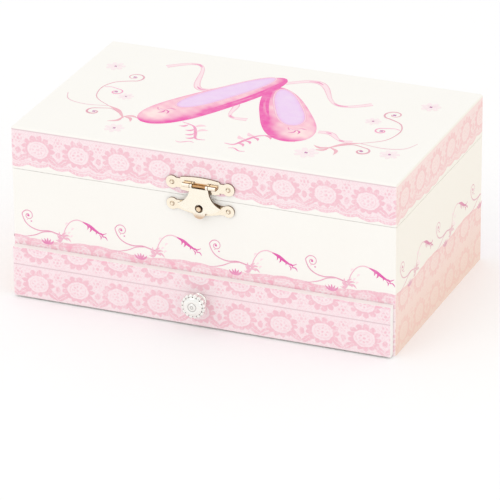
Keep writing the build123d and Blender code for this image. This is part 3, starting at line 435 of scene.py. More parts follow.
def metal_with_painted_shade(name, base, dark, painted_recess_shade, roughness):
    """Bright metal with a painted shade in its grooves and notches, as strong as the value stored at each
    point.
    """
    finish = Finish(name, Metallic=1.0)
    cloud = finish.noise(3.0, 3.0)
    grain = finish.noise(0.3, 2.0)
    # each point's stored share of painted shade in the grooves and notches
    painted_shade = Field(finish.tree, finish.held("painted_shade").outputs["Fac"])
    shaded_share = (painted_shade * 1.3 - cloud * 0.25).highest(0.0).lowest(1.0)
    shade = finish.mix(shaded_share, finish.mix(cloud * 0.4, base, dark), painted_recess_shade)
    return finish.done(shade, grain * 0.1 + cloud * 0.1 + (roughness - 0.1), grain, 0.004)


def mirror_glass(name):
    """Silvered glass with faint smudges."""
    finish = Finish(name, Base_Color=colour(236, 240, 242), Metallic=1.0)
    smudge = finish.noise(16.0, 4.0)
    finish.set("Roughness", smudge * 0.05)
    return finish.material


def plastic(name, base, shade, roughness=0.35):
    finish = Finish(name)
    cloud = finish.noise(2.5, 3.0)
    mottled = finish.mix(cloud * 0.6, base, shade)
    return finish.done(mottled, cloud * 0.12 + (roughness - 0.06), finish.noise(0.5, 2.0), 0.006)


def ink(name):
    """Print colour held by each point's "ink" value, broken up like watercolour on paper."""
    finish = Finish(name, Specular_IOR_Level=0.35)
    full = finish.held("ink").outputs["Color"]
    wash = finish.noise(5.0, 4.0, roughness=0.6)
    grain = finish.noise(0.4, 2.0)
    washed_out = (wash * 1.6 + grain * 0.3 - 0.75).highest(0.0).lowest(1.0)
    shade = finish.mix(washed_out, full, finish.mix(0.3, full, paper_white))
    return finish.done(shade, grain * 0.16 + 0.42, grain, 0.01)


def doll(name):
    """Painted plastic of the ballerina in her own upright millimetres: clothes, shoes, hair and face."""
    ferrule_top, shoe_top, lacing_bottom, lacing_top = 13.3, 15.6, 15.0, 18.4
    raised_toe = (-1.5, -1.6, 24.0)
    bodice_bottom, tights_top, bodice_top_middle = 32.0, 36.0, 42.9
    chin, head_top, head_half_width = 49.6, 55.9, 3.3
    eye_x, eye_z, brow_x, brow_z, lips_z = 1.02, 51.15, 1.05, 51.5, 49.55
    finish = Finish(name)
    x, y, z = finish.x, finish.y, finish.z
    cloud = finish.noise(3.0, 3.0)
    skin_shade = finish.mix(cloud * 0.6, colour(250, 222, 204), colour(244, 208, 188))
    tights = finish.mix(cloud * 0.5, colour(252, 226, 224), colour(246, 212, 212))
    satin = finish.mix(cloud * 0.7, colour(244, 168, 196), colour(232, 136, 172))
    strands = finish.noise(0.35, 3.0, stretch=(1.0, 1.0, 0.25))
    hair = finish.mix(strands, colour(104, 68, 44), colour(66, 40, 26))
    ferrule = finish.mix(cloud * 0.5, colour(248, 246, 240), colour(234, 228, 216))

    bodice_top = x.size() * 0.28 + bodice_top_middle
    bodice = z.above(bodice_bottom, 0.2) * z.below(bodice_top, 0.12) * x.size().below(3.5, 0.1)
    standing_shoe = z.below(shoe_top, 0.1) * z.above(ferrule_top, 0.1)
    toe_distance = length_of(length_of(x - raised_toe[0], y - raised_toe[1]), z - raised_toe[2])
    raised_shoe = toe_distance.below(2.3, 0.1)
    lacing = ((x + z * 1.6) * 2.2).cosine().above(0.82, 0.1) * x.size().below(2.0, 0.1)
    lacing = lacing * z.below(lacing_top, 0.1) * z.above(lacing_bottom, 0.1)
    shoes = standing_shoe.highest(raised_shoe).highest(lacing)

    head = z.above(chin, 0.4) * z.below(head_top, 0.1) * x.size().below(head_half_width, 0.1)
    hairline = (z - 52.9) * 1.6 + (y + 0.4) * 0.9 + x.size() * 0.2
    hair_share = head * hairline.above(0.0, 0.15).highest(y.above(0.7, 0.2))
    in_front = y.below(-1.2, 0.2) * z.above(48.0, 0.1) * x.size().below(2.6, 0.1)
    eye = length_of((x.size() - eye_x) / 0.55, (z - eye_z) / 0.42)
    lids = (eye - 1.0).size().below(0.26, 0.2) * z.below(eye_z, 0.1)
    brow = length_of((x.size() - brow_x) / 0.62, (z - brow_z) / 0.62)
    brows = (brow - 1.0).size().below(0.13, 0.1) * z.above(brow_z + 0.3, 0.1)
    lips = length_of(x / 0.62, (z - lips_z) / 0.24).below(1.0, 0.3)
    cheeks = length_of(x.size() - 1.6, z - 50.2).below(0.75, 0.7)
    shade = finish.coat(skin_shade, (z.below(tights_top, 0.1), tights), (bodice, satin), (shoes, satin),
                        (z.below(ferrule_top, 0.08), ferrule), (hair_share, hair),
                        (in_front * cheeks * 0.45, colour(244, 166, 160)),
                        (in_front * lips, colour(214, 92, 104)),
                        (in_front * lids.highest(brows * 0.6), colour(84, 56, 42)))
    height = finish.noise(0.4, 2.0) + hair_share * finish.noise(0.3, 2.0, stretch=(2.0, 2.0, 0.3))
    return finish.done(shade, hair_share * 0.15 + bodice * 0.1 + cloud * 0.1 + 0.32, height, 0.01)


def netting(name):
    """Stiff net: three crossing sets of fine threads."""
    finish = Finish(name, Sheen_Weight=0.4)
    pitch = 0.55
    first, second, third = (
        (finish.x * across + finish.y * along).wrap(pitch / 2).size().below(0.07, 0.06)
        for across, along in ((0.0, 1.0), (sin(pi / 3), 0.5), (-sin(pi / 3), 0.5)))
    threads = first.highest(second).highest(third)
    cloud = finish.noise(4.0, 2.0)
    shade = finish.mix(threads * 0.7 + cloud * 0.35, colour(255, 240, 244), colour(246, 190, 210))
    return finish.done(shade, threads * 0.1 + 0.62, threads, 0.05)


pink_flock = cloth("pink_flock", colour(244, 182, 203), colour(232, 154, 182))
pink_satin = cloth("pink_satin", colour(250, 206, 220), colour(240, 184, 204), thread=0.18, nap=0.25)
case_paper = printed_paper("case_paper", lace_case_line, 13.6, both_ways=True)
drawer_paper = printed_paper("drawer_paper", lace_case_line, 13.6, both_ways=True, front_only=True)
lid_paper = printed_paper("lid_paper", lace_lid_line, 18.6)
champagne = colour(255, 247, 231)
# the latch plates, the flap and the nails get a painted shade, dark brown, on faces that turn away from the
# front
pale_gold = metal("pale_gold", champagne, colour(246, 228, 200), 0.22, grain_size=0.5,
                  painted_edge_shade=colour(122, 86, 58))
# the flap turns browner towards its lower lip
flap_gold = metal("flap_gold", colour(255, 250, 238), colour(250, 238, 216), 0.26, grain=(1.0, 1.0, 0.2),
                  grain_size=0.3, painted_edge_shade=colour(110, 74, 48), browner_below=58.6)
nail_gold = metal("nail_gold", champagne, colour(240, 220, 188), 0.2, painted_edge_shade=colour(150, 116, 84),
                  edge_shade_reach=0.75)
nickel = metal("bright_nickel", colour(236, 236, 236), colour(208, 208, 210), 0.14)
# the pin is brass, made darker than the plates to stand in for the shade in the window between the hinge
# knuckles
pin_brass = metal("pin_brass", colour(214, 170, 120), colour(150, 104, 62), 0.3)
# the stud's sides get a painted shade, almost dark brown, spreading far over its rounded shoulders
stud_gold = metal("stud_gold", colour(255, 236, 206), colour(240, 204, 160), 0.24,
                  painted_edge_shade=colour(84, 52, 34), edge_shade_reach=0.85)
# the knob's grooves and notches get a painted shade, dark grey
knob_nickel = metal_with_painted_shade("knob_nickel", colour(250, 250, 246), colour(232, 231, 227),
                             colour(92, 86, 84), 0.2)
steel = metal("ground_steel", colour(196, 198, 204), colour(150, 154, 162), 0.3, grain=(0.2, 1.0, 2.0))
print_ink = ink("print_ink")
doll_plastic = doll("doll_plastic")
net = netting("net")

slot_finishes = {
    "printed_paper": case_paper,
    "board": fibreboard("fibreboard"),
    "lining_fabric": pink_flock,
    "mirror": mirror_glass("mirror_glass"),
    "pale_gold": pale_gold,
    "bright_metal": nickel,
    "cast_zinc": metal("cast_zinc", colour(178, 180, 184), colour(140, 142, 148), 0.46, grain_size=0.8,
                       depth=0.03),
    "tempered_steel": steel,
    "brass": metal("turned_brass", colour(226, 190, 116), colour(190, 146, 74), 0.28, grain=(0.3, 0.3, 4.0)),
    "fan_plastic": plastic("fan_plastic", colour(244, 242, 236), colour(228, 226, 220)),
    "doll_plastic": doll_plastic,
    "net": net,
}


def dress(node_name, material):
    """Give a CAD node one material in every slot."""
    node = cad_nodes[node_name]
    node.data.materials.clear()
    node.data.materials.append(material)
    for face in node.data.polygons:
        face.material_index = 0


def modify(piece, name, kind, **settings):
    """Give a piece a modifier with the given settings."""
    modifier = piece.modifiers.new(name, kind)
    for setting, value in settings.items():
        setattr(modifier, setting, value)


for part in frame["record"]["subparts"]:
    dress(part["node"], slot_finishes[part["material_slot"]])
for node_name in ("lid_top_board", "lid_front_rim", "lid_back_rim", "lid_side_rims"):
    dress(node_name, lid_paper)
dress("drawer_front", drawer_paper)
dress("latch_pin", pin_brass)
dress("latch_stud", stud_gold)
dress("latch_flap", flap_gold)
for node_name in ("case_nails", "lid_nails"):
    dress(node_name, nail_gold)
dress("tray_floor", pink_flock)
for node_name in ("latch_upper_plate", "latch_lower_plate", "latch_flap"):
    modify(cad_nodes[node_name], "soft_edges", "BEVEL", width=0.22 * mm, segments=2, limit_method="ANGLE",
           angle_limit=radians(40), harden_normals=False)


# ---------------------------------------------------------------- mesh helpers
def curve_through(points, steps=10, closed=False):
    """Points along a smooth curve through the given ones (Catmull-Rom), in any number of dimensions."""
    count = len(points)
    spans = count if closed else count - 1
    found = []
    for index in range(spans):
        around = [index - 1, index, index + 1, index + 2]
        if closed:
            before, start, end, after = (points[i % count] for i in around)
        else:
            before, start, end, after = (points[min(max(i, 0), count - 1)] for i in around)
        for step in range(steps):
            t = step / steps
            found.append(tuple(
                0.5 * (2 * b + (c - a) * t + (2 * a - 5 * b + 4 * c - d) * t * t
                       + (3 * b - a - 3 * c + d) * t ** 3)
                for a, b, c, d in zip(before, start, end, after)))
    if not closed:
        found.append(tuple(points[-1]))
    return found


def new_object(name, data):
    made = bpy.data.objects.new(name, data)
    bpy.context.scene.collection.objects.link(made)
    return made


def piece_from(name, body, mesh_maker, material, smooth=True):
    """Turn a bmesh into a named piece that rides on a body."""
    data = bpy.data.meshes.new(name)
    mesh_maker.to_mesh(data)
    mesh_maker.free()
    piece = new_object(name, data)
    data.materials.append(material)
    for face in data.polygons:
        face.use_smooth = smooth
    if body is not None:
        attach(piece, body)
    return piece


def apply_modifiers(piece):
    """Replace a piece's mesh by the one its modifiers give."""
    depsgraph = bpy.context.evaluated_depsgraph_get()
    made = bpy.data.meshes.new_from_object(piece.evaluated_get(depsgraph))
    piece.modifiers.clear()
    piece.data = made


# ---------------------------------------------------------------- printed drawings
def blend_colours(first, second, share):
    share = min(max(share, 0.0), 1.0)
    return tuple(a + (b - a) * share for a, b in zip(first, second))


class Print:
    """Flat ink shapes on one face of the box, gathered into one thin film."""

    root = 0.03                 # how deep the ink reaches into the paper
    first_lift = 0.012          # how far the first layer stands off it
    layer_step = 0.002
    thinnest = 0.04

    def __init__(self, origin, across, up):
        """across and up span the face; they and origin are in millimetres."""
        self.origin = Vector(origin)
        self.across = Vector(across)
        self.up = Vector(up)
        self.outward = self.across.cross(self.up)
        self.mesh = bmesh.new()
        self.ink = self.mesh.verts.layers.float_color.new("ink")
        self.layer = 0
        self.layers = 0

    def point(self, x, y, shade):
        self.layers = max(self.layers, self.layer)
        lift = self.first_lift + self.layer * self.layer_step
        place = self.origin + self.across * x + self.up * y + self.outward * lift
        vertex = self.mesh.verts.new(place * mm)
        vertex[self.ink] = shade
        return vertex

    def stroke(self, points, widths, shade, edge_shade=None, steps=8):
        """A line of ink through the points whose width follows widths, darker at its edges if asked."""
        line = curve_through(points, steps)
        swell = curve_through([(w,) for w in widths], ceil((len(line) - 1) / (len(widths) - 1)))
        offsets = (-1, -0.6, 0.6, 1) if edge_shade else (-1, 1)
        rows = []
        for index, (x, y) in enumerate(line):
            ahead = line[min(index + 1, len(line) - 1)]
            behind = line[max(index - 1, 0)]
            dx, dy = ahead[0] - behind[0], ahead[1] - behind[1]
            length = hypot(dx, dy) or 1.0
            half = max(swell[min(index, len(swell) - 1)][0], self.thinnest) / 2
            rows.append([
                self.point(x - dy / length * half * offset, y + dx / length * half * offset,
                           edge_shade if edge_shade and abs(offset) == 1 else shade)
                for offset in offsets])
        for row, following in zip(rows, rows[1:]):
            for a, b, c, d in zip(row, row[1:], following[1:], following):
                self.mesh.faces.new((a, d, c, b))
        self.layer += 1

    def dash(self, x, y, length, width, shade, drop=0.0):
        """A short blunt stroke round a middle, its right end lower by drop."""
        self.stroke([(x - length / 2, y), (x + length / 2, y - drop)], [width, width], shade, steps=2)

    def patch(self, outline, shading, spacing=1.2, steps=6):
        """A filled shape. shading(x, y, depth) gives the ink at a point that far inside the outline."""
        border = [Vector(p) for p in curve_through(outline, steps, closed=True)]
        low_x, high_x = min(p.x for p in border), max(p.x for p in border)
        low_y, high_y = min(p.y for p in border), max(p.y for p in border)
        columns = int((high_x - low_x) / spacing)
        rows = int((high_y - low_y) / spacing)
        inner = [Vector((low_x + (i + 0.5 * (j % 2)) * spacing, low_y + j * spacing))
                 for i in range(1, columns + 1) for j in range(1, rows + 1)]
        inner = [p for p in inner if depth_in(p, border) > spacing * 0.4]
        points, _, faces, *_ = delaunay_2d_cdt(border + inner, [], [list(range(len(border)))], 1, 1e-5)
        vertices = [self.point(p.x, p.y, shading(p.x, p.y, abs(depth_in(p, border)))) for p in points]
        for face in faces:
            self.mesh.faces.new([vertices[i] for i in face])
        self.layer += 1

    def finish(self, name, body):
        for face in self.mesh.faces:
            face.normal_update()
            if face.normal.dot(self.outward) < 0:
                face.normal_flip()
        piece = piece_from(name, body, self.mesh, print_ink, smooth=False)
        thickness = (self.root + self.layers * self.layer_step) * mm
        modify(piece, "film", "SOLIDIFY", thickness=thickness, offset=-1)
        apply_modifiers(piece)


def distance_to(line, point):
    """Distance from a point to a line through others."""
    nearest = 1e9
    for a, b in zip(line, line[1:]):
        side = b - a
        share = min(max((point - a).dot(side) / max(side.length_squared, 1e-12), 0.0), 1.0)
        nearest = min(nearest, (point - a - side * share).length)
    return nearest


def depth_in(point, border):
    """Distance from a point to a closed outline, negative outside it."""
    closed = border + border[:1]
    inside = False
    for a, b in zip(closed, closed[1:]):
        if (a.y > point.y) != (b.y > point.y):
            if point.x < (b.x - a.x) * (point.y - a.y) / (b.y - a.y) + a.x:
                inside = not inside
    return distance_to(closed, point) * (1 if inside else -1)


def circle_angles(count):
    return [2 * pi * index / count for index in range(count)]


def spiral(centre, start_radius, end_radius, start_angle, turns, steps=12):
    """Points of a spiral round a centre, angles in turns."""
    count = max(int(abs(turns) * steps), 3)
    found = []
    for step in range(count + 1):
        share = step / count
        angle = 2 * pi * (start_angle + turns * share)
        radius = start_radius + (end_radius - start_radius) * share
        found.append((centre[0] + radius * cos(angle), centre[1] + radius * sin(angle)))
    return found


def leaf(drawing, root, tip, width, shade, bend=0.25):
    """A pointed leaf from root to tip."""
    dx, dy = tip[0] - root[0], tip[1] - root[1]
    middle = (root[0] + dx / 2 - dy * bend, root[1] + dy / 2 + dx * bend)
    drawing.stroke([root, middle, tip], [0.15, width, 0.12], shade, steps=6)


def flower(drawing, centre, radius, petals=7):
    """A small open flower: separate round petals and a dark heart."""
    turned = 0.3                # so that no petal points straight across
    for angle in circle_angles(petals):
        across, up = radius * cos(angle + turned), radius * sin(angle + turned)
        petal = [(centre[0] + across * share, centre[1] + up * share) for share in (0.22, 0.61, 1.0)]
        drawing.stroke(petal, [radius * 0.1, radius * 0.5, radius * 0.3], ink_petal, steps=4)
    drawing.dash(*centre, radius * 0.24, radius * 0.22, ink_mauve)


def flourish(drawing, x0, z0, shades, whole=True):
    """One border scroll: a curl and buds, then, if it's whole, an arch with a leafy end."""
    line, dark, soft = shades
    bloom = blend_colours(dark, soft, 0.45)

    def at(*points):
        return [(x0 + x, z0 + z) for x, z in points]

    # the curl, its stem along the lace, and a fan of buds in a cup below it
    stem = [(-1.2, -3.6), (2.0, -6.0), (6.5, -7.0), (11.5, -6.5)]
    if whole:
        stem += [(16.0, -7.4), (18.8, -8.0)]
    drawing.stroke(at(*spiral((0.3, 0.2), 0.5, 3.2, 0.15, 1.35), *stem), [0.55, 0.4, 0.5, 0.7], line)
    drawing.stroke(at((12.5, -6.8), (8.0, -7.6), (4.0, -9.6), (-0.5, -11.0), (-3.5, -11.3)),
                   [0.3, 0.5, 0.2], line)
    for index in range(5):
        spread = index - 2
        tip = (10.4 + spread * 1.69, -10.2 - abs(spread) * 0.455)
        leaf(drawing, *at((10.4, -13.0), tip), 0.9, bloom, bend=-0.1 * spread)
    drawing.stroke(at((7.4, -12.0), (9.0, -13.2), (12.0, -13.2), (13.6, -11.9)), [0.4, 0.8, 0.8, 0.3], bloom)
    for x, z, size in ((0.35, 0.2, 1.1), (1.9, -2.6, 0.7), (-0.2, -1.9, 0.4)):
        drawing.dash(x0 + x, z0 + z, size, size * 0.8, dark, drop=0.1)
    if not whole:
        return

    # the arch, the thick end that hangs from it, and the end's leaves
    drawing.stroke(at((19.0, -8.0), (20.2, -3.8), (23.0, 0.2), (26.6, 1.8), (30.4, 1.0)),
                   [0.6, 0.45, 0.6], soft)
    drawing.stroke(at((29.6, 1.2), (33.0, -0.2), (36.4, -2.4), (39.6, -3.8), (42.2, -2.8)),
                   [0.5, 1.5, 1.3, 0.7, 0.2], dark)
    for root, tip, width in (((31.4, 0.4), (32.0, -2.4), 0.8), ((33.4, -0.8), (33.2, -3.4), 0.8),
                             ((35.8, -2.2), (36.6, -4.2), 0.7), ((37.6, -3.2), (40.4, -5.4), 0.8),
                             ((39.6, -5.0), (42.6, -6.6), 0.6), ((38.2, -4.2), (39.0, -6.6), 0.6)):
        leaf(drawing, *at(root, tip), width, dark)

    # a pale spray where the stem turns up
    root = (18.8, -9.4)
    for angle in (-0.9, -0.35, 0.25, 0.8):
        leaf(drawing, *at(root, (19.0 + 3.4 * sin(angle * 2), -8.2 + 2.56 * cos(angle * 1.6))), 1.1, soft)
        leaf(drawing, *at(root, (18.8 + 4.4 * sin(angle * 2.2), -9.8 - abs(angle))), 1.0, soft)
    for x, z in ((22.2, -6.0), (24.2, -3.6), (21.0, -1.2), (23.6, -7.6)):
        leaf(drawing, *at((x - 0.7, z - 0.6), (x + 0.8, z + 0.6)), 0.9, ink_pale)


def scroll_row(name, origin, across, first_x, whole_scrolls, shades, cut_short=False):
    """A row of border scrolls on one face of the case. cut_short ends it with a curl at the face's edge."""
    drawing = Print(origin, across, (0, 0, 1))
    for index in range(whole_scrolls + cut_short):
        flourish(drawing, first_x + index * scroll_pitch, scroll_z, shades, whole=index < whole_scrolls)
        drawing.layer = 0
    drawing.finish(name, "case")


front_shades = (colour(230, 156, 186), ink_magenta, colour(240, 184, 204))
side_shades = (colour(226, 178, 188), colour(218, 138, 168), colour(234, 196, 200))

scroll_row("front_scroll_print", (0, case_front_y, 0), (1, 0, 0), wide_row_start, 4, front_shades)
scroll_row("back_scroll_print", (0, case_back_y, 0), (-1, 0, 0), wide_row_start, 4, side_shades)
for side, side_name in ((1, "right"), (-1, "left")):
    scroll_row(f"{side_name}_scroll_print", (side * case_side_x, 0, 0), (0, side, 0), side_row_start, 2,
               side_shades, cut_short=True)


# ---------------------------------------------------------------- slippers printed on the lid
def satin_shade(light, deep, sole, folds):
    """Watercolour shading of a slipper: deep along the sole and at the given fold places, light elsewhere.

    folds are (x, y, radius, strength); a negative strength lightens.
    """
    blush = blend_colours(light, deep, 0.3)
    sole_line = [Vector(point) for point in sole]
    sole_reach, rim_reach = 4.2, 0.9

    def shade(x, y, depth):
        from_sole = distance_to(sole_line, Vector((x, y)))
        share = 0.95 * exp(-(from_sole / sole_reach) ** 2) + 0.5 * exp(-depth / rim_reach)
        share += 0.16 * sin(x * 0.8 + y * 0.5) * sin(y * 0.55 - x * 0.2)
        for fold_x, fold_y, radius, strength in folds:
            share += strength * exp(-((x - fold_x) ** 2 + (y - fold_y) ** 2) / radius ** 2)
        if share < 0:
            return blend_colours(blush, light, -share * 2.5)
        return blend_colours(blush, deep, share)
    return shade


def wave(start, end, height, steps=12):
    """Points from start to end that swing once to each side of the straight line."""
    dx, dy = end[0] - start[0], end[1] - start[1]
    length = hypot(dx, dy)
    found = []
    for step in range(steps + 1):
        share = step / steps
        swing = height * sin(2 * pi * share) / length
        found.append((start[0] + dx * share - dy * swing, start[1] + dy * share + dx * swing))
    return found


def slipper(lid, toe, heel, half_width, deep_side, lean):
    """A plain ballet slipper from toe to heel, deep pink along one side; its opening leans to the other."""
    dx, dy = heel[0] - toe[0], heel[1] - toe[1]
    length = hypot(dx, dy)
    narrowing = 0.4             # how much narrower the heel is
    opening_start, opening_end, opening_share = 0.28, 0.96, 0.6
    light_satin, deep_satin, inside = colour(255, 226, 224), colour(238, 78, 172), colour(238, 188, 235)

    def place(along, across):
        """The point that far along from toe to heel, and across in half widths, the deep side first."""
        reach = across * half_width * deep_side / length
        return (toe[0] + dx * along + dy * reach, toe[1] + dy * along - dx * reach)

    def edge(first, last, fullness, centre, steps=10):
        """One side of an oval between two places along the slipper."""
        found = []
        for step in range(steps + 1):
            share = 0.5 - 0.5 * cos(pi * step / steps)
            along = first + (last - first) * share
            reach = fullness * (1 - abs(2 * share - 1) ** 3) ** 0.5 * (1 - narrowing * along)
            found.append(place(along, centre + reach))
        return found

    def oval(first, last, fullness, centre):
        return edge(first, last, fullness, centre) + edge(first, last, -fullness, centre)[-2:0:-1]

    sole = edge(0, 1, 1.0, 0)
    folds = [(*place(along, across), radius, strength) for along, across, radius, strength in (
        (0.12, -0.2, 6, -0.5), (0.4, 0.7, 6, 0.6), (0.2, 0.6, 5, 0.3), (0.65, 0.6, 4, -0.4),
        (0.85, 0.3, 4, 0.4))]
    lid.patch(oval(0, 1, 1.0, 0), satin_shade(light_satin, deep_satin, sole, folds))
    opening = oval(opening_start, opening_end, opening_share, -lean)
    lid.patch(opening, lambda x, y, depth: blend_colours(inside, ink_lavender, depth / 2.3))
    lid.stroke(opening + opening[:1], [0.9, 0.9], ink_blush, ink_magenta)
    lid.stroke([place(0.4, 0.6), place(0.7, 0.5), place(0.97, 0.15)], [0.4, 1.8, 0.4], deep_satin)
    lid.stroke(sole, [0.7, 2.0, 0.6], deep_satin)

    bow_x, bow_y = place(0.2, -lean)
    for side in (-1, 1):
        for out, up, width, shade in ((5, 2, 1.8, ink_rose), (4, 1, 0.8, ink_pale),
                                      (2.5, -4.5, 1.0, ink_magenta)):
            leaf(lid, (bow_x, bow_y), (bow_x + side * out, bow_y + up), width, shade)


def lid_drawing():
    return Print((0, 0, lid_top_z), (1, 0, 0), (0, 1, 0))


def draw_slippers():
    """A pair of plain slippers with waving ribbons, the left one lying over the other's heel."""
    lid = lid_drawing()
    for start, end, height in (((-18, 24), (-60, 38), 12), ((4, 38), (54, 28), 10),
                               ((-18, 6), (4, -12), 5), ((42, -14), (62, -20), 2)):
        ribbon = wave(start, end, height)
        lid.stroke(ribbon, [2.8, 3.4, 1.8, 3.2], ink_pale, colour(236, 160, 186))
        for fold in (2, 8):
            lid.stroke(ribbon[fold:fold + 3], [0.4, 1.3, 0.4], ink_rose)
    slipper(lid, (36, -29), (2, 32), 15, -1, 0.15)
    slipper(lid, (-44, -32), (2, 44), 15, 1, 0.25)
    lid.finish("lid_slippers_print", "lid")


def draw_lid_scrolls():
    """Curls, leaves and sprigs, the same at both sides of the slippers, and small flowers among them."""
    lid = lid_drawing()
    thin, warm = colour(234, 190, 202), colour(238, 176, 190)
    for side in (-1, 1):
        for points, widths, shade in (
            (spiral((69, 19), 1.2, 5.5, 0.5, 1.25) + [(76, 9), (79, 0), (76, -12), (66, -20)],
             [0.4, 0.6, 0.9, 0.4], ink_dusty),
            (spiral((70, -2), 0.8, 3.6, 1.35, -1.1) + [(75, 3), (78, 2)], [0.4, 0.9, 0.4], ink_rose),
            (spiral((70, -29), 1.0, 4.5, 0.25, 1.0) + [(63, -23), (56, -28)], [0.4, 1.2, 0.5], ink_dusty),
            ([(66, -20), (78, -22), (88, -19), (92, -11)], [0.5, 0.6, 0.3], thin),
            ([(66, -20), (59, -24), (53, -32)], [0.5, 2.2, 0.5], warm),
            ([(24, -26), (17, -29), (13, -36), (10, -43), (5, -43)], [0.4, 1.6, 0.4], ink_rose),
            (wave((9, -48), (18, -49), 1), [0.3, 0.8, 0.3], ink_rose),
        ):
            lid.stroke([(side * x, y) for x, y in points], widths, shade, steps=5)
        for x, y in ((20, -28), (15, -32), (13, -37), (11, -41)):
            leaf(lid, (side * x, y), (side * (x + 4), y - 3), 1.6, ink_rose)
        for x, y in ((16, -30), (13, -35)):
            leaf(lid, (side * x, y), (side * (x - 5), y + 3), 2.4, ink_blush)
        for x, y in ((59, -38), (46, -30), (48, -35)):
            leaf(lid, (side * 54, -30), (side * x, y), 1.8, warm)
        for x, y in ((69, 19), (70, -2), (70, -29)):
            lid.dash(side * x, y, 1.6, 1.5, ink_mauve)
    for x, y, radius in ((-84, 29, 5), (-63, -6, 4), (-52, -45, 5), (46, -40, 6),
                         (84, -28, 5), (62, 8, 4), (82, 35, 5)):
        flower(lid, (x, y), radius)
    lid.finish("lid_scrolls_print", "lid")


draw_slippers()
draw_lid_scrolls()


# ---------------------------------------------------------------- knob
def ring_mesh(rings):
    """A closed surface through rings of points of equal count; single-point rings close its ends."""
    made = bmesh.new()
    rows = [[made.verts.new(Vector(point) * mm) for point in ring] for ring in rings]
    for row, following in zip(rows, rows[1:]):
        count = max(len(row), len(following))
        for index in range(count):
            after = (index + 1) % count
            if len(row) == 1:
                made.faces.new((row[0], following[after], following[index]))
            elif len(following) == 1:
                made.faces.new((row[index], row[after], following[0]))
            else:
                made.faces.new((row[index], row[after], following[after], following[index]))
    bmesh.ops.recalc_face_normals(made, faces=made.faces)
    return made


def make_knob():
    """A small pull turned from bar: flange, stem, and a head with a notched rim and a riveted middle."""
    low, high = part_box("drawer_knob")
    centre_x = (low.x + high.x) / 2 / mm
    centre_z = (low.z + high.z) / 2 / mm
    face_y = high.y / mm
    notches = 16
    around = notches * 10
    # distance in front of the drawer, radius, depth of the notches, strength of the painted shade in the
    # grooves
    profile = (
        (0.0, 0.0, 0.0, 0.0), (0.0, 4.2, 0.0, 0.0), (0.5, 4.2, 0.0, 0.0), (0.9, 3.8, 0.0, 0.0),
        (1.0, 2.8, 0.0, 0.5), (1.6, 2.5, 0.0, 0.1), (2.8, 2.5, 0.0, 0.0), (3.7, 3.2, 0.0, 0.1),
        (4.6, 5.0, 0.0, 0.0), (5.2, 6.1, 0.1, 0.1), (5.5, 6.4, 0.5, 0.3), (6.0, 6.45, 0.7, 0.3),
        (6.9, 6.45, 0.7, 0.3), (7.4, 6.35, 0.65, 0.3), (7.75, 6.0, 0.55, 0.35), (7.85, 5.5, 0.3, 0.6),
        (7.6, 5.2, 0.2, 1.0), (7.62, 5.05, 0.2, 1.0), (8.0, 4.9, 0.0, 0.0), (8.5, 4.5, 0.0, 0.0),
        (8.8, 3.6, 0.0, 0.0), (8.85, 2.6, 0.0, 0.0), (8.7, 2.25, 0.0, 0.3), (8.62, 2.05, 0.0, 0.5),
        (8.75, 1.85, 0.0, 0.2), (9.05, 1.6, 0.0, 0.0), (9.12, 1.2, 0.0, 0.0), (8.9, 0.8, 0.0, 0.4),
        (8.88, 0.5, 0.0, 0.4), (9.0, 0.3, 0.0, 0.0), (9.02, 0.0, 0.0, 0.0),
    )
    rings = []
    painted_shades = []
    for depth, radius, notch, dark in profile:
        ring = []
        for angle in circle_angles(around if radius else 1):
            cut = (0.5 + 0.5 * cos(notches * angle)) ** 4
            reach = radius - notch * cut
            ring.append((centre_x + reach * cos(angle), face_y - depth, centre_z + reach * sin(angle)))
            painted_shades.append(dark * cut if notch else dark)
        rings.append(ring)
    knob = piece_from("drawer_pull", "drawer", ring_mesh(rings), knob_nickel)
    # the painted shade in the grooves and notches, stored at each point for the knob's material
    painted_shade = knob.data.attributes.new("painted_shade", "FLOAT", "POINT")
    painted_shade.data.foreach_set("value", painted_shades)
    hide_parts("drawer_knob")


make_knob()


# ---------------------------------------------------------------- linings, pads and ring rolls
def solid_boxes(node_name):
    """The lowest and highest corner, in millimetres, of each separate solid in a CAD node."""
    solids = bmesh.new()
    solids.from_mesh(cad_nodes[node_name].data)
    bmesh.ops.remove_doubles(solids, verts=solids.verts, dist=0.001 * mm)
    waiting = set(solids.verts)
    boxes = []
    while waiting:
        edge_of_search = [waiting.pop()]
        places = []
        while edge_of_search:
            vertex = edge_of_search.pop()
            places.append(vertex.co / mm)
            neighbours = {edge.other_vert(vertex) for edge in vertex.link_edges} & waiting
            waiting -= neighbours
            edge_of_search.extend(neighbours)
        boxes.append((Vector(min(p[axis] for p in places) for axis in range(3)),
                      Vector(max(p[axis] for p in places) for axis in range(3))))
    solids.free()
    return sorted(boxes, key=lambda corners: tuple(corners[0]))


def graded(half, close_steps, pitch):
    """Positions from -half to half: pitch apart, but at the close steps from each end."""
    near_end = [step for step in close_steps if step < 0.8 * half]
    span = 2 * (half - near_end[-1])
    count = max(1, ceil(span / pitch))
    middle = [near_end[-1] - half + span * index / count for index in range(1, count)]
    return [step - half for step in near_end] + middle + [half - step for step in reversed(near_end)]


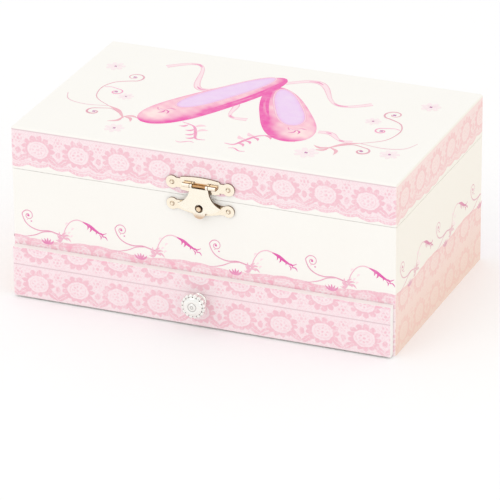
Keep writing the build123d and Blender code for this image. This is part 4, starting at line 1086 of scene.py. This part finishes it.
def soft_block(low, high, rounding, swell, pull=0.0, seam=0.0):
    """A covered card or pad: round edges, faces that swell by swell towards the middle, sides that pull in.

    seam is the depth of a sewn line that runs round the broad faces, a little inside their edges.
    """
    seam_inset, seam_width = 2.2, 0.3
    swell_reach = 7.0           # how far from the edges the faces have nearly their full swell
    flattest = 0.75             # the most that a thin block may lose
    centre = (low + high) / 2
    half = (high - low) / 2
    thin = min(range(3), key=lambda axis: half[axis])
    broad = [axis for axis in range(3) if axis != thin]
    # points lie closer together near the ends, where edges turn and seams run
    close_steps, wide_pitch = (0.0, 0.15, 0.35, 0.6, 1.0, 1.5, 1.9, 2.2, 2.5, 3.2, 4.5), 4.0
    steps = [graded(length, close_steps, wide_pitch) for length in half]
    made = bmesh.new()
    known = {}

    def shaped(place):
        inner = Vector(min(max(place[a], rounding - half[a]), half[a] - rounding) for a in range(3))
        outward = place - inner
        if outward.length > rounding:
            place = inner + outward.normalized() * rounding
        from_edge = min(half[a] - abs(place[a]) for a in broad)
        fall = swell * exp(-from_edge / swell_reach)
        fall += seam * exp(-((from_edge - seam_inset) / seam_width) ** 2)
        ripple = 0.12 * swell * sin(place[broad[0]] * 0.31) * sin(place[broad[1]] * 0.27 + 1.0)
        place[thin] *= 1.0 - min((fall + abs(ripple)) / half[thin], flattest)
        for a, b in (broad, broad[::-1]):
            place[a] *= 1.0 - pull / half[a] * (1.0 - (place[b] / half[b]) ** 2)
        return place

    def vertex(indices):
        if indices not in known:
            place = Vector(steps[a][indices[a]] for a in range(3))
            known[indices] = made.verts.new((centre + shaped(place)) * mm)
        return known[indices]

    for axis in range(3):
        u, v = (axis + 1) % 3, (axis + 2) % 3
        for end in (0, len(steps[axis]) - 1):
            for i in range(len(steps[u]) - 1):
                for j in range(len(steps[v]) - 1):
                    corners = []
                    for di, dj in ((0, 0), (1, 0), (1, 1), (0, 1)):
                        indices = [0, 0, 0]
                        indices[axis], indices[u], indices[v] = end, i + di, j + dj
                        corners.append(vertex(tuple(indices)))
                    made.faces.new(corners if end else corners[::-1])
    return made


def join_meshes(meshes):
    """One bmesh that holds all the given ones."""
    joined = bmesh.new()
    for each in meshes:
        data = bpy.data.meshes.new("joining")
        each.to_mesh(data)
        each.free()
        joined.from_mesh(data)
        bpy.data.meshes.remove(data)
    return joined


def cover(node_name, body, material, rounding, swell, fill=0.4, **shape):
    """Replace a CAD node of lining or padding by its soft, covered form."""
    blocks = [soft_block(low, high, rounding, swell, **shape) for low, high in solid_boxes(node_name)]
    piece = piece_from(f"{node_name}_cover", body, join_meshes(blocks), material)
    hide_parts(node_name)


def stuffed_roll(low, high):
    """A foam roll in a cloth sleeve: a fat round back, a flat base, and gathered ends."""
    half = (high - low) / 2
    centre = (low + high) / 2
    around, gathers = 40, 9
    end_length, gather_reach, ring_pitch = 3.2, 2.2, 2.0
    close_steps = (0.0, 0.05, 0.25, 0.6, 1.1, 1.8, 2.6, 3.6, 5.0)
    rings = []
    for x in graded(half.x, close_steps, ring_pitch):
        from_end = half.x - abs(x)
        share = min(from_end / end_length, 1.0)
        size = (1.0 - (1.0 - share) ** 2) ** 0.5
        gather = exp(-from_end / gather_reach)
        ring = []
        for angle in circle_angles(around if size > 0.05 else 1):
            across, up = cos(angle), sin(angle)
            swell = size * (1.0 - 0.05 * gather * (0.5 + 0.5 * cos(gathers * angle)))
            slack = 1.0 - 0.012 * (0.5 + 0.5 * sin(x * 0.42 + 3 * angle)) * (1.0 - gather)
            y = half.y * abs(across) ** 0.86 * (1 if across > 0 else -1) * swell * slack
            z = half.z * abs(up) ** 0.82 * (1 if up > 0 else -1) * swell * slack
            ring.append((centre.x + x, centre.y + y, max(centre.z + z, low.z + 0.02)))
        rings.append(ring)
    return ring_mesh(rings)


def make_soft_goods():
    for node_name in ("tray_dividers", "cross_divider", "stage_front_panel"):
        cover(node_name, "case", pink_flock, 0.9, 0.12)
    cover("stage_board", "case", pink_flock, 0.6, 0.08)
    for node_name in ("side_wall_linings", "front_wall_lining", "back_wall_linings"):
        cover(node_name, "case", pink_flock, 0.4, 0.1, seam=0.12)
    for node_name in ("left_floor_pad", "right_floor_pad", "centre_floor_pad"):
        cover(node_name, "case", pink_satin, 0.7, 0.45, fill=0.6, pull=0.5, seam=0.3)
    cover("lid_lining", "lid", pink_satin, 0.6, 0.15, seam=0.15)
    cover("drawer_lining", "drawer", pink_flock, 0.4, 0.15)
    rolls = join_meshes([stuffed_roll(low, high) for low, high in solid_boxes("ring_rolls")])
    piece = piece_from("ring_rolls_cover", "case", rolls, pink_satin)
    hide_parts("ring_rolls")


make_soft_goods()


# ---------------------------------------------------------------- ballerina
# Her own places are upright millimetres from the fold point, her front towards -Y.
her_place = Matrix.Translation(fold_point * mm) @ Matrix.Rotation(fold_angle, 4, "X")


def limb(points, radii, steps=6, around=20):
    """A round-ended limb through the points, with a radius at each."""
    sideways = Vector((0.31, 0.92, 0.24))       # any direction that no limb follows
    end_steps = 4
    line = [Vector(p) for p in curve_through(points, steps)]
    sizes = [r for (r,) in curve_through([(r,) for r in radii], steps)]
    rings = []
    for end, order in ((0, 1), (-1, -1)):
        direction = (line[end] - line[end + order]).normalized()
        cap = [(line[end] + direction * sizes[end] * sin(pi / 2 * step / end_steps),
                sizes[end] * cos(pi / 2 * step / end_steps)) for step in range(end_steps, 0, -1)]
        if end == 0:
            rings.extend(cap)
            rings.extend(zip(line, sizes))
        else:
            rings.extend(reversed(cap))
    made = []
    for index, (place, size) in enumerate(rings):
        if size < 1e-6 or index in (0, len(rings) - 1):
            made.append([place])
            continue
        ahead = rings[min(index + 1, len(rings) - 1)][0] - rings[max(index - 1, 0)][0]
        side = ahead.cross(sideways).normalized()
        other = ahead.normalized().cross(side)
        made.append([place + (side * cos(angle) + other * sin(angle)) * size
                     for angle in circle_angles(around)])
    return ring_mesh(made)


def make_figure():
    """The dancer: limbs and body run together into one skin."""
    knee = 1.3                  # radius of the raised knee
    shapes = [
        # ferrule on the spring, and the standing leg
        limb([(0, 0, 12.6), (0, 0, 12.9)], [1.3, 1.2]),
        limb([(0, 0, 13.1), (0, 0, 14.6), (0, 0, 16.4), (0, 0.25, 20.6), (0.2, -0.3, 25.0),
              (0.5, -0.25, 29.0), (0.9, 0, 33.0)], [0.72, 0.85, 0.82, 1.5, 1.28, 1.8, 2.15]),
        # the raised leg, its toe at the other knee
        limb([(-1.2, 0, 33.0), (-4.4, -1.6, 30.2), (-7.2, -3.1, 27.7)], [2.05, 1.75, knee]),
        limb([(-7.2, -3.1, 27.7), (-5.2, -2.7, 26.2), (-3.0, -2.1, 24.9), (-1.5, -1.6, 24.0)],
             [knee, 1.35, 0.85, 0.62]),
        # hips, waist, chest and shoulders
        limb([(0, 0.1, 32.6), (0, 0.1, 34.6), (0, 0, 38.2), (0, -0.2, 42.0), (0, -0.1, 44.2)],
             [2.7, 2.75, 1.95, 2.45, 1.7]),
        *(limb([(side * 1.15, -1.5, 42.2), (side * 1.15, -1.55, 42.5)], [1.15, 1.1]) for side in (-1, 1)),
        limb([(-2.5, -0.1, 44.7), (0, 0, 45.0), (2.5, -0.1, 44.7)], [1.1, 1.3, 1.1]),
        limb([(0, 0, 44.8), (0, -0.05, 46.6), (0, -0.1, 49.0)], [1.25, 0.95, 1.0]),
        # head, nose and bun
        limb([(0, -0.55, 50.0), (0, -0.3, 50.9), (0, 0.0, 52.0)], [1.75, 2.35, 2.55]),
        limb([(0, -2.55, 50.55), (0, -2.45, 50.95)], [0.34, 0.2]),
        limb([(0, 1.7, 53.9), (0, 2.1, 54.1)], [1.45, 1.4]),
        limb([(0, 1.1, 53.2), (0, 1.5, 53.6)], [1.3, 1.2]),
    ]
    for side in (-1, 1):
        shapes.append(limb([(side * 2.7, -0.2, 44.5), (side * 4.9, -0.7, 46.7), (side * 6.9, -1.2, 49.1),
                            (side * 6.5, -1.8, 51.8), (side * 5.2, -2.2, 54.3), (side * 3.5, -2.5, 56.3),
                            (side * 1.5, -2.6, 57.5)], [1.05, 0.85, 0.72, 0.66, 0.52, 0.56, 0.3]))
    figure = piece_from("ballerina_dancer", None, join_meshes(shapes), doll_plastic)
    modify(figure, "one_skin", "REMESH", mode="VOXEL", voxel_size=0.2 * mm)
    modify(figure, "smooth", "SMOOTH", factor=0.5, iterations=4)
    apply_modifiers(figure)
    for face in figure.data.polygons:
        face.use_smooth = True
    figure.matrix_world = her_place
    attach(figure, "ballerina")
    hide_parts("ballerina_figure")


def net_layer(waist_radius, reach, waist_z, rim_z, folds, phase):
    """One gathered layer of the tutu, spreading from her waist in radial folds."""
    around, rows = 16 * folds, 10
    layer = bmesh.new()
    grid = []
    for row in range(rows + 1):
        share = row / rows
        fold_height = 0.08 + 0.52 * share
        ring = []
        for angle in circle_angles(around):
            radius = waist_radius + (reach - waist_radius) * share
            radius += 0.16 * share * cos(folds * angle * 0.5 + phase)
            height = waist_z + (rim_z - waist_z) * share + fold_height * sin(folds * angle + phase)
            height += 0.1 * share * sin(5 * angle + 2 * phase)
            ring.append(layer.verts.new(Vector((radius * cos(angle), radius * sin(angle), height)) * mm))
        grid.append(ring)
    for ring, outer in zip(grid, grid[1:]):
        for step in range(around):
            after = (step + 1) % around
            layer.faces.new((ring[step], outer[step], outer[after], ring[after]))
    return layer


def make_tutu():
    """Three layers of net, each a strip gathered round her waist; the lower ones are a little shorter."""
    folds, waist_radius, top_reach, shorter = 22, 3.3, 13.9, 0.25
    thread_thickness = 0.05
    for index, (waist_z, rim_z) in enumerate(((37.0, 36.1), (36.2, 35.5), (35.5, 34.9))):
        reach = top_reach - shorter * index
        gathered = net_layer(waist_radius, reach, waist_z, rim_z, folds, 1.9 * index)
        layer = piece_from(f"ballerina_tutu_layer_{index + 1}", None, gathered, net)
        modify(layer, "net", "SOLIDIFY", thickness=thread_thickness * mm)
        apply_modifiers(layer)
        layer.matrix_world = her_place
        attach(layer, "ballerina")
        if index == 0:
            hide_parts("ballerina_tutu")


def make_spring():
    coil_radius, wire_radius = 1.5, 0.35
    bottom, top, turns = -1.6, 11.9, 9
    bend_length = 4.0
    per_turn, around = 28, 8
    settling_steps = 60
    middle_angle = fold_angle / 2
    bend = Vector((0, -sin(middle_angle), cos(middle_angle))) * bend_length

    def folded(place):
        """Where a standing point lies at rest, when the blend that stands it up again is undone."""
        weight = 0.5
        for _ in range(settling_steps):
            rest = Matrix.Rotation(fold_angle * weight, 3, "X") @ place
            share = min(max(rest.dot(bend) / bend.length_squared, 0.0), 1.0)
            weight += 0.5 * (share * share * (3 - 2 * share) - weight)
        return fold_point + Matrix.Rotation(fold_angle * weight, 3, "X") @ place

    rings = []
    count = turns * per_turn
    for step in range(count + 1):
        angle = 2 * pi * step / per_turn
        height = bottom + (top - bottom) * step / count
        outward = Vector((cos(angle), sin(angle), 0))
        upward = Vector((0, 0, 1))
        centre = outward * coil_radius + upward * height
        rings.append([folded(centre + (outward * cos(turn) + upward * sin(turn)) * wire_radius)
                      for turn in circle_angles(around)])
    first, last = rings[0], rings[-1]
    start = sum(first, Vector()) / around
    end = sum(last, Vector()) / around
    spring = piece_from("ballerina_coil", None, ring_mesh([[start], *rings, [end]]), steel)
    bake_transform(spring)
    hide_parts("ballerina_spring")


make_figure()
make_tutu()
make_spring()


# ---------------------------------------------------------------- floor, light and camera
def make_stage():
    """A wide sheet of white paper under the box."""
    floor_mesh = bmesh.new()
    bmesh.ops.create_grid(floor_mesh, x_segments=1, y_segments=1, size=8.0)
    floor_finish = Finish("floor_paper", Roughness=0.9)
    cloud = floor_finish.noise(300.0, 2.0)
    floor_finish.set("Base Color", floor_finish.mix(cloud, colour(255, 255, 255), colour(253, 253, 253)))
    floor = piece_from("floor", None, floor_mesh, floor_finish.material, smooth=False)
    floor.location.z = cad_low.z


def area_light(name, place, size, power, tint):
    """A round soft light that looks at the middle of the box."""
    aim = Vector((0, 0, 0.04))
    light = bpy.data.lights.new(name, "AREA")
    light.shape = "DISK"
    light.size = size
    light.energy = power
    light.color = tint
    lamp = new_object(name, light)
    lamp.location = place
    lamp.rotation_euler = (aim - Vector(place)).to_track_quat("-Z", "Y").to_euler()


def make_light():
    """Even white daylight all round, a soft key from the front left and a warm fill from the right."""
    world = bpy.data.worlds.new("studio")
    bpy.context.scene.world = world
    world.use_nodes = True
    background = world.node_tree.nodes["Background"]
    background.inputs["Color"].default_value = (1.0, 1.0, 1.0, 1.0)
    background.inputs["Strength"].default_value = 0.975
    area_light("key", (-0.7, -1.3, 1.5), 1.2, 2.6, (1.0, 0.99, 0.98))
    area_light("fill_right", (1.6, -0.4, 0.8), 1.0, 1.2, (1.0, 0.92, 0.7))
    bpy.context.scene.view_settings.view_transform = "Standard"


def make_camera():
    """Long lens at the front's right, above, with a slight tilt."""
    target = Vector((0.0, 0.0, 0.0138))
    distance, azimuth, elevation, roll = 2.1293, radians(22.51), radians(24.21), radians(-0.504)
    away = Vector((sin(azimuth) * cos(elevation), -cos(azimuth) * cos(elevation), sin(elevation)))
    lens = bpy.data.cameras.new("camera")
    lens.lens = 309.0
    lens.sensor_width = 36.0
    lens.clip_start = 0.05
    camera = new_object("camera", lens)
    turn = (-away).to_track_quat("-Z", "Y").to_matrix() @ Matrix.Rotation(roll, 3, "Z")
    camera.matrix_world = Matrix.Translation(target + away * distance) @ turn.to_4x4()
    bpy.context.scene.camera = camera


make_camera()
make_light()
make_stage()
